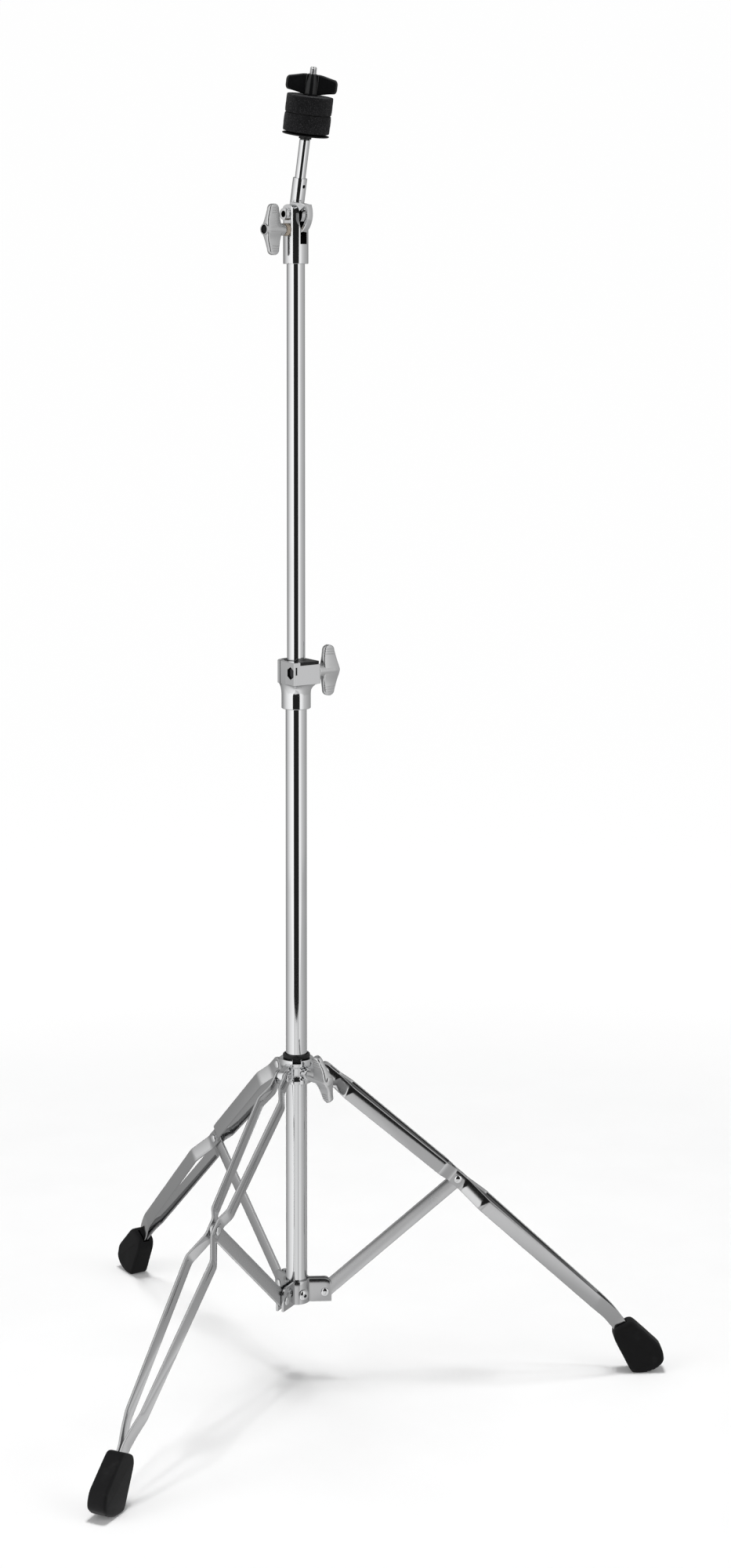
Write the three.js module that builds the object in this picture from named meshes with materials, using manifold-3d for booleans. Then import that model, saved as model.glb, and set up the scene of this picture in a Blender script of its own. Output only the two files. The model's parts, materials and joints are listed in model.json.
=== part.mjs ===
// Straight cymbal stand with a folding, double-braced tripod.
// Lengths are in millimetres, +Z is up and the stand rests on z = 0.
// The pole is the Z axis while the stand is built; leg_A points along +X.

import * as THREE from 'three';
import { mergeVertices } from 'three/addons/utils/BufferGeometryUtils.js';
import Module from 'manifold-3d';

const wasm = await Module();
wasm.setup();

// Driving dimensions

const clearance = 0.3; // between a piece and what it seats on or turns in
const overrun = 3; // how far a cut runs past the face it opens
const round = 28; // sides of a large round
const fine = 14; // sides of a small round
const coarse = 10; // sides of a shank or a hole
const arcSteps = 4; // half the steps of an arc in an outline
const wideArcSteps = 7; // the same on a large arc
const cornerSteps = 2; // steps round a corner
const hexSides = 6;

const half = (length) => length / 2;
const radians = (degrees) => THREE.MathUtils.degToRad(degrees);
const quarterTurn = radians(90);
const halfTurn = radians(180);
const hexTurn = radians(30); // sets a flat of a hexagon upright

const legNames = ['A', 'B', 'C'];
const legPitch = radians(120);

const pole = {
  baseDiameter: 22.2, baseWall: 1.2, baseLength: 652.7,
  upperDiameter: 19.05, upperWall: 1.2,
  upperShown: 413, // upper tube between mid collar and tilter
  upperInside: 118, // upper tube hidden below the mid collar
};
// What grips or hangs on a tube is a wall or a reach beyond these
const baseRadius = half(pole.baseDiameter);
const upperRadius = half(pole.upperDiameter);

const linkage = {
  pinRadius: baseRadius + 18.65, // pivots on collar and bracket, from the pole axis
  link: 182.9, // pivot to mid rivet, the same on leg and strut
  spread: radians(50.1), // leg from the vertical, legs open
  droop: radians(2.1), // the outer half of a leg is set this much steeper
  shank: 2.9,
};

const strip = {
  width: 15, thickness: 2.5,
  collarCrank: 16, // stations along the leg, from the collar pin
  spreadStart: 32.5,
  crankLength: 20, // run of the crank down to the mid rivet
  rivetLand: 9, // flat half-length round the mid rivet
  spreadRun: 26, // run of the crank out again past the rivet
  outerLength: 215, // mid rivet to the kink above the foot
  kink: radians(10),
  footRun: 24, // kink to the mouth of the foot
  footGrip: 11, // strip inside the foot
  upperSpread: 14, // outer faces from the leg's plane
  lowerSpread: 10,
  wideSpread: 15.5,
  kinkSpread: 5.6,
  footSpread: 3,
};

const strut = { width: 15, thickness: 3, edge: 0.6 };

const rivet = { headRadius: 4.4, headHeight: 1.7, domeShare: 0.7 };

const foot = {
  reach: 44, // mouth to toe
  drop: 45, // mouth to sole
  topWidth: 19.4, soleWidth: 22,
  edge: 2.4,
  pocketLength: strip.width + 2, pocketWidth: 2 * strip.footSpread + 1.6,
  grooveWidth: 1.6, grooveDepth: 1.4,
};
// Side view from the mouth, as shares of reach and drop
const footOutlineShares = [
  [-0.19, 0.04], [-0.225, -0.06], [-0.215, -0.2], [0.2, -0.975], [0.28, -1],
  [0.54, -1], [0.79, -0.92], [0.955, -0.79], [1, -0.66], [0.93, -0.4], [0.27, 0.19], [0.17, 0.215],
];
const footGrooveShares = [[0.6, -0.981], [0.7, -0.949], [0.8, -0.912]];

const bracket = {
  height: 24, pinAboveBottom: 9.8, thickness: 2.5,
  earReach: baseRadius + 25.5, cornerRadius: 7.4, bendRun: 3,
  screwHead: 5.7, screwHeight: 3.4, screwShank: 2.5, screwInside: 2.4,
  socketRadius: 2.1, socketDepth: 2,
};

// Half section of a screw head, as shares of its radius and height
const screwDomeShares = [[1, 0], [0.96, 0.35], [0.75, 0.75], [0.45, 1]];

const collar = {
  above: 14, below: 11.4, // casting above and below its pins
  topRadius: baseRadius + 6.5, waistRadius: baseRadius + 3.8, footRadius: baseRadius + 5.3,
  topRim: 6.4, footRim: 4.6, taperRun: 2.2,
  lugWidth: 7.4, lugEnd: 7.2, boltAzimuth: radians(-52),
  bossRadius: 6.4, bossReach: baseRadius + 11.4, bore: 0.35,
  keyWidth: 9.6, keyHeight: 3.6, keyDepth: 2.4,
  ringRadius: baseRadius + 3.2, ringHeight: 6, ringCorner: 1.8,
  wingTurn: radians(19), wingNeck: 10,
};

const wing = {
  span: 53, hubLength: 22.8, hubRadius: 6.6, thickness: 5.2, edge: 1.4,
  boreRadius: 3.7, boreDepth: 6,
  gripCount: 3, gripStart: 17.6, gripPitch: 2.3, gripDepth: 0.7, gripWidth: 1,
};
// Half outline: along the axis from the inner end, and outward, as shares of hub length and half span
const wingOutlineShares = {
  innerRoot: [0.02, 0.22], innerTip: [0.2, 0.84], innerPull: [0.22, 1.02],
  outerPull: [0.616, 1.02], outerTip: [0.64, 0.8], outerRoot: [0.97, 0.3],
};
// Along the axis, the middle and the reach of a grip bar; the hub's crown, across and along
const wingGripShares = { middle: 0.4, reach: 0.6 };
const wingCrownShares = { across: 0.86, start: 0.9 };

const clamp = {
  azimuth: radians(32), // direction of the clamp bolt, towards its wing nut
  sleeveRadius: baseRadius + 4.25, sleeveLength: 27, blockHeight: 23.5, stepDown: 3.2,
  blockHalf: baseRadius + 5.3, blockFront: baseRadius + 10.8, backRadius: baseRadius + 8.3,
  boltOffset: upperRadius + 4.675, boltBelowTop: 11.4,
  filletRun: 13, filletSteps: 6, flangeInset: 0.9, wallShare: 0.55,
  bushingRadius: upperRadius + 2.675, boltRadius: 3, headAcross: 11, headHeight: 4.2, pocketDepth: 6.4,
  notchWidth: 2, notchHeight: 9, notchDepth: 1.6, wingNeck: 5.6, chamfer: 1.2,
};

const plug = { flange: 4, stem: 26 };

const rod = { radius: 5.55, tipRadius: 3.5, end: 153.5, gripped: 24, chamfer: 0.8 };

const arm = {
  thickness: 7.8, web: 4.4, hubRadius: 7.2, rimOuter: 23, rimInner: 19.3,
  slotHalf: 3.3, back: radians(-126), front: radians(36),
  slotBack: radians(-106), slotFront: radians(8),
  sleeveRadius: rod.radius + 1.9, sleeveStart: 12.4, sleeveLength: 25.8, holeRadius: 1.9, holeAbove: 17.6,
};

const tilter = {
  azimuth: radians(-50), // plane in which the rod tilts
  lean: radians(10.7),
  sleeveRadius: upperRadius + 3.675, socketDepth: 18, pivotHeight: 51.5, shoulderHeight: 30,
  headRadius: 10.2, slotWidth: arm.thickness + 0.8, slotFloor: 20.5,
  screwBelowPivot: 16, boltRadius: 2.9, bossReach: upperRadius + 2.275,
  grooveWidth: 1.3, grooveLength: 20, grooveDepth: 1.2, grooveTurn: radians(12), wingNeck: 6.6,
};

const seat = {
  start: 78.9, hubRadius: 6.6, hubHeight: 3.2, discRadius: 24.4, discHeight: 3.5,
  rimHeight: 2.4, edge: 0.6, sleeveRadius: rod.tipRadius + 2.1, sleeveLength: 30,
  bore: rod.tipRadius + 0.5,
};

const felt = { radius: 24.4, height: 19, edge: 2.2, crown: 0.5 };

const topNut = {
  span: 53.4, height: 21.8, thickness: 9, hubRadius: 7.6, edge: 1.6, boreRadius: rod.tipRadius + clearance,
};
// Half outline of the plastic wing nut: outward and up, as shares of half span and height
const topNutShares = {
  root: [0.3, 0.05], lobeLow: [0.84, 0.22], lowPull: [1.02, 0.22], lobeEnd: [1, 0.5],
  highPull: [1.02, 0.8], lobeHigh: [0.84, 0.8], crown: [0.16, 1],
};
// Half section of its hub, as shares of hub radius and height
const topHubShares = [[1, 0], [0.94, 0.6], [0.66, 1]];

const washer = { radius: 6.6, height: 1.8 };
const nut = { across: 9.2, height: 4 };
const pivotScrew = { headRadius: 5.4, headHeight: 5, socketRadius: 2.6, socketDepth: 3 };

// Places worked out from the driving dimensions

const legDrop = linkage.link * Math.cos(linkage.spread)
  + strip.outerLength * Math.cos(linkage.spread - linkage.droop)
  + strip.footRun * Math.cos(linkage.spread - linkage.droop - strip.kink);
const legReach = linkage.link * Math.sin(linkage.spread)
  + strip.outerLength * Math.sin(linkage.spread - linkage.droop)
  + strip.footRun * Math.sin(linkage.spread - linkage.droop - strip.kink);
const collarPinHeight = legDrop + foot.drop;
const bracketPinHeight = collarPinHeight - 2 * linkage.link * Math.cos(linkage.spread);
const baseTubeBottom = bracketPinHeight - bracket.pinAboveBottom + clearance;
const baseTubeTop = baseTubeBottom + pole.baseLength;
const baseBore = baseRadius - pole.baseWall;
const upperBore = upperRadius - pole.upperWall;
const clampTop = baseTubeTop + clamp.blockHeight + clearance;
const upperTubeBottom = clampTop - pole.upperInside;
const tilterBottom = clampTop + pole.upperShown;
const earGap = half(strut.thickness) + 2 * clearance;
const footTurn = linkage.spread - linkage.droop - strip.kink;

// Finishes

const finishes = {
  chrome: { color: 0xd9dadb, roughness: 0.12, metalness: 1 },
  satinChrome: { color: 0xbcbdbe, roughness: 0.38, metalness: 1 },
  plate: { color: 0xa9a9a8, roughness: 0.3, metalness: 1 },
  blackNylon: { color: 0x17171a, roughness: 0.5, metalness: 0 },
  blackRubber: { color: 0x151515, roughness: 0.75, metalness: 0 },
  blackGloss: { color: 0x202124, roughness: 0.28, metalness: 0 },
  greyFelt: { color: 0x2c2c2e, roughness: 0.95, metalness: 0 },
  beigeNylon: { color: 0xb3a797, roughness: 0.5, metalness: 0 },
};

function piece(name, geometry, finish) {
  const mesh = new THREE.Mesh(geometry, new THREE.MeshStandardMaterial(finishes[finish]));
  mesh.name = name;
  return mesh;
}

// Closed solids: joined and cut as manifolds, handed on as buffer geometries

function solidOf(geometry) {
  const bare = geometry.clone();
  bare.deleteAttribute('normal');
  bare.deleteAttribute('uv');
  const merged = mergeVertices(bare);
  const vertProperties = new Float32Array(merged.attributes.position.array);
  const triVerts = new Uint32Array(merged.index.array);
  return new wasm.Manifold(new wasm.Mesh({ numProp: 3, vertProperties, triVerts }));
}

function geometryOf(solid) {
  const { vertProperties, triVerts } = solid.getMesh();
  const geometry = new THREE.BufferGeometry();
  geometry.setAttribute('position', new THREE.BufferAttribute(vertProperties, 3));
  geometry.setIndex(new THREE.BufferAttribute(triVerts, 1));
  return geometry;
}

const joined = (geometries) => geometryOf(
  geometries.map(solidOf).reduce((whole, next) => whole.add(next)),
);
const shared = (one, other) => geometryOf(solidOf(one).intersect(solidOf(other)));
const cut = (geometry, tools) => geometryOf(
  tools.map(solidOf).reduce((whole, tool) => whole.subtract(tool), solidOf(geometry)),
);

// A solid of revolution about Z from [radius, height] points; it closes on itself or on the axis
function turned(points, sides) {
  const loop = points.map(([radius, height]) => new THREE.Vector2(radius, height));
  const onAxis = loop[0].x === 0 && loop[loop.length - 1].x === 0;
  if (!onAxis) loop.push(loop[0].clone());
  if (THREE.ShapeUtils.area(loop) < 0) loop.reverse();
  return new THREE.LatheGeometry(loop, sides).rotateX(quarterTurn);
}

const disc = (radius, from, to, sides) => turned([[0, from], [radius, from], [radius, to], [0, to]], sides);
const tube = (radius, bore, from, to, sides) => turned(
  [[bore, from], [radius, from], [radius, to], [bore, to]], sides,
);
// A round bar or drill along X, from one place to another
const crossBar = (radius, from, to, sides) => disc(radius, from, to, sides).rotateY(quarterTurn);
const hexBar = (across, from, to) => disc(half(across) / Math.cos(hexTurn), from, to, hexSides);

function outline(points) {
  return new THREE.Shape(points.map(([x, y]) => new THREE.Vector2(x, y)));
}

// An outline in XY drawn out along Z, centred on the XY plane
function slab(shape, thickness, edge = 0, curveSegments = arcSteps) {
  return new THREE.ExtrudeGeometry(shape, {
    depth: thickness - 2 * edge, bevelEnabled: edge > 0, bevelThickness: edge, bevelSize: edge,
    bevelOffset: -edge, bevelSegments: 1, curveSegments,
  }).translate(0, 0, edge - half(thickness));
}

// The same with the outline standing in the XZ plane and the thickness along Y
const upright = (shape, thickness, edge = 0, curveSegments = arcSteps) => slab(
  shape, thickness, edge, curveSegments,
).rotateX(quarterTurn);

const block = (x, y, z, from = [0, 0, 0]) => new THREE.BoxGeometry(x, y, z).translate(...from);

function placed(object, parent, position = [0, 0, 0]) {
  object.position.set(...position);
  parent.add(object);
  return object;
}

const turnedGroup = (azimuth, parent, position) => {
  const group = placed(new THREE.Group(), parent, position);
  group.rotation.z = azimuth;
  return group;
};

// A rivet along X: a shank with a domed head at each end of the stack that it holds
function rivetGeometry(stack, shank) {
  const { headRadius, headHeight } = rivet;
  const seated = half(stack) + clearance;
  const end = (side) => [
    [shank, side * seated], [headRadius, side * seated],
    [headRadius * rivet.domeShare, side * (seated + headHeight)],
  ];
  const profile = [
    [0, -seated - headHeight], ...end(-1).reverse(), ...end(1), [0, seated + headHeight],
  ];
  return turned(profile, coarse).rotateY(quarterTurn);
}

// Foot bracket: three stamped plates wrap the pole and pair their ears round the struts

function bracketPlateGeometry() {
  const inner = baseRadius + clearance;
  const outer = inner + bracket.thickness;
  const reach = bracket.earReach + overrun;
  const legAngle = half(legPitch);
  const backGap = earGap + bracket.thickness;
  const earPoint = (side, along, off) => {
    const point = new THREE.Vector2(along, -side * off);
    return point.rotateAround(new THREE.Vector2(), side * legAngle);
  };
  const innerTurn = legAngle - Math.asin(earGap / inner);
  const bendTurn = legAngle - Math.asin(backGap / outer) - bracket.bendRun / outer;
  const bendAlong = Math.sqrt(outer ** 2 - backGap ** 2);
  const shape = new THREE.Shape();
  const start = earPoint(1, reach, earGap);
  shape.moveTo(start.x, start.y);
  shape.absarc(0, 0, inner, innerTurn, -innerTurn, true);
  for (const [along, off] of [[reach, earGap], [reach, backGap], [bendAlong + bracket.bendRun, backGap]]) {
    const point = earPoint(-1, along, off);
    shape.lineTo(point.x, point.y);
  }
  const lowCorner = earPoint(-1, bendAlong, backGap);
  shape.quadraticCurveTo(
    lowCorner.x, lowCorner.y, outer * Math.cos(bendTurn), -outer * Math.sin(bendTurn),
  );
  shape.absarc(0, 0, outer, -bendTurn, bendTurn, false);
  const highCorner = earPoint(1, bendAlong, backGap);
  const highEnd = earPoint(1, bendAlong + bracket.bendRun, backGap);
  shape.quadraticCurveTo(highCorner.x, highCorner.y, highEnd.x, highEnd.y);
  const tip = earPoint(1, reach, backGap);
  shape.lineTo(tip.x, tip.y);
  return slab(shape, bracket.height).translate(0, 0, half(bracket.height));
}

// The ears end at a set reach, with a rounded upper corner
function bracketEnvelope() {
  const { earReach, cornerRadius, height } = bracket;
  const arc = Array.from({ length: cornerSteps + 1 }, (_, step) => {
    const turn = (step / cornerSteps) * quarterTurn;
    return [
      earReach - cornerRadius * (1 - Math.cos(turn)), height - cornerRadius * (1 - Math.sin(turn)),
    ];
  });
  return turned([[0, 0], [earReach, 0], ...arc, [0, height]], fine);
}

function bracketPlate() {
  const plate = shared(bracketPlateGeometry(), bracketEnvelope());
  const reach = earGap + bracket.thickness + overrun;
  const pinHoles = [1, -1].map((side) => crossBar(linkage.shank + clearance, 0, reach, coarse)
    .rotateZ(-side * quarterTurn)
    .translate(linkage.pinRadius, 0, bracket.pinAboveBottom)
    .rotateZ(side * half(legPitch)));
  const screwHole = crossBar(
    bracket.screwShank + clearance, 0, baseRadius + bracket.thickness + overrun, coarse,
  ).translate(0, 0, bracket.pinAboveBottom);
  return cut(plate, [...pinHoles, screwHole]);
}

function bracketScrew() {
  const { screwHead, screwHeight, screwShank, screwInside, socketRadius, socketDepth } = bracket;
  const seated = baseRadius + bracket.thickness + 2 * clearance;
  const body = turned([
    [0, baseBore - screwInside], [screwShank, baseBore - screwInside], [screwShank, seated],
    ...screwDomeShares.map(([across, up]) => [across * screwHead, seated + up * screwHeight]),
    [0, seated + screwHeight],
  ], fine);
  const socket = hexBar(
    2 * socketRadius, seated + screwHeight - socketDepth, seated + screwHeight + overrun,
  );
  return cut(body, [socket]).rotateY(quarterTurn);
}

function baseTube() {
  const body = tube(baseRadius, baseBore, baseTubeBottom, baseTubeTop, round);
  const holes = legNames.map((_, leg) => crossBar(
    bracket.screwShank + clearance, 0, baseRadius + overrun, coarse,
  ).translate(0, 0, bracketPinHeight).rotateZ(leg * legPitch + half(legPitch)));
  return cut(body, holes);
}

// Struts and legs

// A flat bar with round ends about two pivots, in the XZ plane
function barOutline(length, width) {
  const shape = new THREE.Shape();
  shape.absarc(length, 0, half(width), -quarterTurn, quarterTurn, false);
  shape.absarc(0, 0, half(width), quarterTurn, 3 * quarterTurn, false);
  return shape;
}

const pivotDrill = (station, radius, reach) => crossBar(radius, -reach, reach, coarse)
  .rotateZ(quarterTurn).translate(station, 0, 0);

function strutGeometry() {
  const bar = upright(barOutline(linkage.link, strut.width), strut.thickness, strut.edge);
  const hole = linkage.shank + clearance;
  return cut(bar, [pivotDrill(0, hole, strut.thickness), pivotDrill(linkage.link, hole, strut.thickness)]);
}

// Stations along a leg and how far its outer face stands from the leg's plane
function legSpreads() {
  const rivetLandHalf = half(strut.thickness) + clearance + strip.thickness;
  const collarLand = half(collar.lugWidth) + clearance + strip.thickness;
  const kink = linkage.link + strip.outerLength;
  const end = kink + strip.footRun + strip.footGrip;
  return [
    [-strip.width, collarLand], [strip.collarCrank, collarLand],
    [strip.spreadStart, strip.upperSpread],
    [linkage.link - strip.crankLength, strip.lowerSpread],
    [linkage.link - strip.rivetLand, rivetLandHalf], [linkage.link + strip.rivetLand, rivetLandHalf],
    [linkage.link + strip.rivetLand + strip.spreadRun, strip.wideSpread],
    [kink - half(strip.width), strip.kinkSpread], [kink + half(strip.width), strip.footSpread],
    [end + overrun, strip.footSpread],
  ];
}

// The bent centre line of a leg in its own plane
function legCentreLine() {
  const line = [new THREE.Vector2(0, 0), new THREE.Vector2(linkage.link, 0)];
  const runs = [
    [strip.outerLength, linkage.droop], [strip.footRun + strip.footGrip, linkage.droop + strip.kink],
  ];
  for (const [run, turn] of runs) {
    const last = line[line.length - 1];
    line.push(new THREE.Vector2(last.x + run * Math.cos(turn), last.y - run * Math.sin(turn)));
  }
  return line;
}

// Side outline of a strip: a band along the centre line, round at the collar pin
function stripOutline() {
  const line = legCentreLine();
  const side = (sign) => line.slice(1).map((point, index) => {
    const before = line[index];
    const after = line[index + 2];
    const inTurn = Math.atan2(point.y - before.y, point.x - before.x);
    const outTurn = after ? Math.atan2(after.y - point.y, after.x - point.x) : inTurn;
    const mitre = half(inTurn + outTurn) + sign * quarterTurn;
    const reach = half(strip.width) / Math.cos(half(outTurn - inTurn));
    return [point.x + reach * Math.cos(mitre), point.y + reach * Math.sin(mitre)];
  });
  const shape = new THREE.Shape();
  shape.absarc(0, 0, half(strip.width), quarterTurn, 3 * quarterTurn, false);
  for (const [x, y] of [...side(-1), ...side(1).reverse()]) shape.lineTo(x, y);
  return shape;
}

// One strip: cranked in plan, cut to its side outline, pierced for its two rivets
function legStrip(side) {
  const spreads = legSpreads();
  const plan = [
    ...spreads.map(([station, spread]) => [station, side * spread]),
    ...spreads.map(([station, spread]) => [station, side * (spread - strip.thickness)]).reverse(),
  ];
  const wide = strip.wideSpread + overrun;
  const length = linkage.link + strip.outerLength + strip.footRun;
  const cranked = slab(outline(side > 0 ? plan.reverse() : plan), length);
  const blank = upright(stripOutline(), 2 * wide);
  const hole = linkage.shank + clearance;
  return cut(shared(cranked, blank), [pivotDrill(0, hole, wide), pivotDrill(linkage.link, hole, wide)]);
}

// Rubber foot, in the leg's vertical plane with its mouth at the origin
function footGeometry() {
  const place = ([along, up]) => [along * foot.reach, up * foot.drop];
  const body = upright(outline(footOutlineShares.map(place)), foot.soleWidth, foot.edge);
  const position = body.attributes.position;
  for (let index = 0; index < position.count; index += 1) {
    const share = -position.getZ(index) / foot.drop;
    const taper = (foot.topWidth + (foot.soleWidth - foot.topWidth) * share) / foot.soleWidth;
    position.setY(index, position.getY(index) * taper);
  }
  const pocketDepth = strip.footGrip + clearance;
  const pocket = block(foot.pocketLength, foot.pocketWidth, pocketDepth + foot.drop)
    .translate(0, 0, half(foot.drop - pocketDepth)).rotateY(-footTurn);
  const grooves = footGrooveShares.map(place).map(([along, up]) => block(
    foot.grooveWidth, foot.soleWidth + overrun, 2 * foot.grooveDepth,
  ).translate(along, 0, up));
  return cut(body, [pocket, ...grooves]);
}

// Wing nuts and wing bolts, with the axis along X and the inner end at x = 0

const mirrored = (halfPoints) => [...halfPoints, ...halfPoints.map(([x, y]) => [x, -y]).reverse()];

// A wing plate: straight edges up to two rounded tips
function wingPlate() {
  const { hubLength, span, thickness, edge } = wing;
  const at = ([along, out]) => new THREE.Vector2(along * hubLength, out * half(span));
  const { innerRoot, innerTip, innerPull, outerPull, outerTip, outerRoot } = wingOutlineShares;
  const tipArc = new THREE.CubicBezierCurve(
    at(innerTip), at(innerPull), at(outerPull), at(outerTip),
  ).getPoints(arcSteps);
  const points = [at(innerRoot), ...tipArc, at(outerRoot)].map((point) => [point.x, point.y]);
  return upright(outline(mirrored(points)), thickness, edge);
}

// Raised grip bars across both faces of each wing tip
function gripBars() {
  const { gripCount, gripStart, gripPitch, gripWidth, gripDepth, hubLength, thickness } = wing;
  const bars = [];
  for (let bar = 0; bar < gripCount; bar += 1) {
    const out = gripStart + bar * gripPitch;
    const reach = hubLength * (1 - out / wing.span) * wingGripShares.reach;
    for (const end of [1, -1]) {
      bars.push(block(reach, thickness + 2 * gripDepth, gripWidth)
        .translate(hubLength * wingGripShares.middle, 0, end * out));
    }
  }
  return bars;
}

// Wing, hub, neck and an optional shank that runs back along the axis
function wingFitting(neck, boreThrough, shank) {
  const { hubLength, hubRadius, boreRadius, boreDepth } = wing;
  const top = neck + hubLength + clearance;
  const hub = turned([
    [0, 0], [hubRadius, 0], [hubRadius, neck + hubLength * wingCrownShares.start],
    [hubRadius * wingCrownShares.across, top], [0, top],
  ], fine);
  const parts = [hub, wingPlate().translate(neck, 0, 0).rotateY(-quarterTurn)];
  const bars = gripBars().map((bar) => bar.translate(neck, 0, 0).rotateY(-quarterTurn));
  const whole = joined([...parts, ...bars]);
  const end = neck + hubLength + overrun;
  const bore = disc(boreRadius, end - overrun - boreDepth, end, coarse);
  const tools = [bore];
  if (boreThrough) tools.push(disc(boreThrough, -overrun, end, coarse));
  let result = cut(whole, tools);
  if (shank) result = joined([result, disc(shank.radius, -shank.length, overrun, coarse)]);
  return result.rotateY(quarterTurn);
}

// Leg collar: a casting that slides on the base tube and carries the legs in three lugs

function legCollar() {
  const { above, below, topRadius, waistRadius, footRadius, topRim, footRim, taperRun } = collar;
  const bore = baseRadius + collar.bore;
  const body = turned([
    [bore, -below], [footRadius, -below], [footRadius, footRim - below],
    [waistRadius, footRim + taperRun - below], [waistRadius, above - topRim - taperRun],
    [topRadius, above - topRim], [topRadius, above], [bore, above],
  ], round);
  const lugs = legNames.map((_, leg) => {
    const shape = new THREE.Shape();
    shape.absarc(linkage.pinRadius, 0, collar.lugEnd, -quarterTurn, quarterTurn, false);
    shape.lineTo(bore + clearance, above - taperRun);
    shape.lineTo(bore + clearance, taperRun - below);
    return upright(shape, collar.lugWidth).rotateZ(leg * legPitch);
  });
  const boss = crossBar(collar.bossRadius, bore + clearance, collar.bossReach, fine)
    .rotateZ(collar.boltAzimuth);
  const whole = joined([body, ...lugs, boss]);
  const pinHoles = legNames.map((_, leg) => pivotDrill(
    linkage.pinRadius, linkage.shank + clearance, collar.lugWidth,
  ).rotateZ(leg * legPitch));
  const boltHole = crossBar(clamp.boltRadius + clearance, 0, collar.bossReach + overrun, coarse)
    .rotateZ(collar.boltAzimuth);
  return cut(whole, [...pinHoles, boltHole, collarKeyCut()]);
}

// The slot in the casting's rim that the key of the ring drops into
function collarKeyCut() {
  const { keyWidth, keyHeight, above, topRadius } = collar;
  const inner = baseRadius + clearance;
  return block(
    topRadius + overrun - inner, keyWidth + 2 * clearance, keyHeight + 2 * clearance + overrun,
    [half(topRadius + overrun + inner), 0, above - half(keyHeight) - clearance + half(overrun)],
  ).rotateZ(-quarterTurn);
}

function collarRing() {
  const { ringRadius, ringHeight, ringCorner, keyWidth, keyHeight, keyDepth, above } = collar;
  const bore = baseRadius + collar.bore;
  const start = above + clearance;
  const top = start + ringHeight;
  const ring = turned([
    [bore, start], [ringRadius - half(ringCorner), start], [ringRadius, start + ringCorner],
    [ringRadius, top - ringCorner], [ringRadius - ringCorner, top], [bore, top],
  ], round);
  const keyStart = bore + clearance;
  const key = block(
    keyDepth, keyWidth, keyHeight + 2 * clearance,
    [keyStart + half(keyDepth), 0, start - half(keyHeight) + clearance],
  ).rotateZ(-quarterTurn);
  return joined([ring, key]);
}

const collarWingBolt = () => wingFitting(collar.wingNeck, 0, {
  radius: clamp.boltRadius,
  length: collar.bossReach - baseRadius,
});

// Mid collar: a casting on top of the base tube that clamps the upper tube

function midCollar() {
  const { sleeveRadius, sleeveLength, blockHeight, blockHalf, blockFront, backRadius } = clamp;
  const { stepDown, flangeInset, boltOffset, boltBelowTop, wallShare } = clamp;
  const top = blockHeight;
  const plan = new THREE.Shape();
  plan.moveTo(-blockHalf, -blockFront + clamp.chamfer);
  plan.lineTo(-blockHalf + clamp.chamfer, -blockFront);
  plan.lineTo(blockHalf - clamp.chamfer, -blockFront);
  plan.lineTo(blockHalf, -blockFront + clamp.chamfer);
  const meet = Math.acos(blockHalf / backRadius);
  plan.absarc(0, 0, backRadius, meet, halfTurn - meet, false);
  const box = slab(plan, blockHeight, 0, wideArcSteps).translate(0, 0, top - half(blockHeight));
  const sleeve = disc(sleeveRadius, -sleeveLength, clamp.chamfer, round);
  const whole = joined([box, sleeve, ...midCollarFillets()]);
  const socket = disc(baseRadius + clearance, -sleeveLength - overrun, 0, round);
  const bore = disc(clamp.bushingRadius + clearance, 0, top + overrun, round);
  const wallEdge = -blockHalf * wallShare;
  const step = block(
    blockHalf + backRadius, 2 * (blockFront + backRadius), 2 * stepDown,
    [wallEdge + half(blockHalf + backRadius), 0, top],
  );
  const bolt = crossBar(
    clamp.boltRadius + clearance, -backRadius - overrun, backRadius + overrun, coarse,
  ).translate(0, -boltOffset, top - boltBelowTop);
  const pocket = hexBar(clamp.headAcross + 2 * clearance, 0, clamp.pocketDepth + overrun)
    .rotateZ(hexTurn).rotateY(quarterTurn)
    .translate(-blockHalf - overrun, -boltOffset, top - boltBelowTop);
  const notch = block(
    2 * clamp.notchWidth, 2 * clamp.notchDepth, clamp.notchHeight,
    [-blockHalf + clamp.notchWidth + flangeInset, -blockFront, top - boltBelowTop + clamp.notchWidth],
  );
  return cut(whole, [socket, bore, step, bolt, pocket, notch]);
}

// Concave webs that run from the block down to the sleeve, thinning to the sleeve's radius
function midCollarFillets() {
  const { blockHalf, blockFront, sleeveRadius, backRadius, filletRun, filletSteps } = clamp;
  const depth = filletRun / filletSteps;
  return Array.from({ length: filletSteps }, (_, step) => {
    const share = 1 - Math.sqrt(1 - (1 - step / filletSteps) ** 2);
    const grow = (from, to) => from + (to - from) * share;
    const plan = new THREE.Shape();
    const side = grow(sleeveRadius - clearance, blockHalf - clearance);
    const front = grow(clearance, blockFront - clamp.chamfer);
    const back = grow(sleeveRadius - clearance, backRadius - clearance);
    plan.moveTo(-side, -front);
    plan.lineTo(side, -front);
    plan.absarc(0, 0, Math.max(back, side), 0, halfTurn, false);
    return slab(plan, depth + clearance, 0, wideArcSteps)
      .translate(0, 0, -depth * step - half(depth));
  });
}

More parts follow.
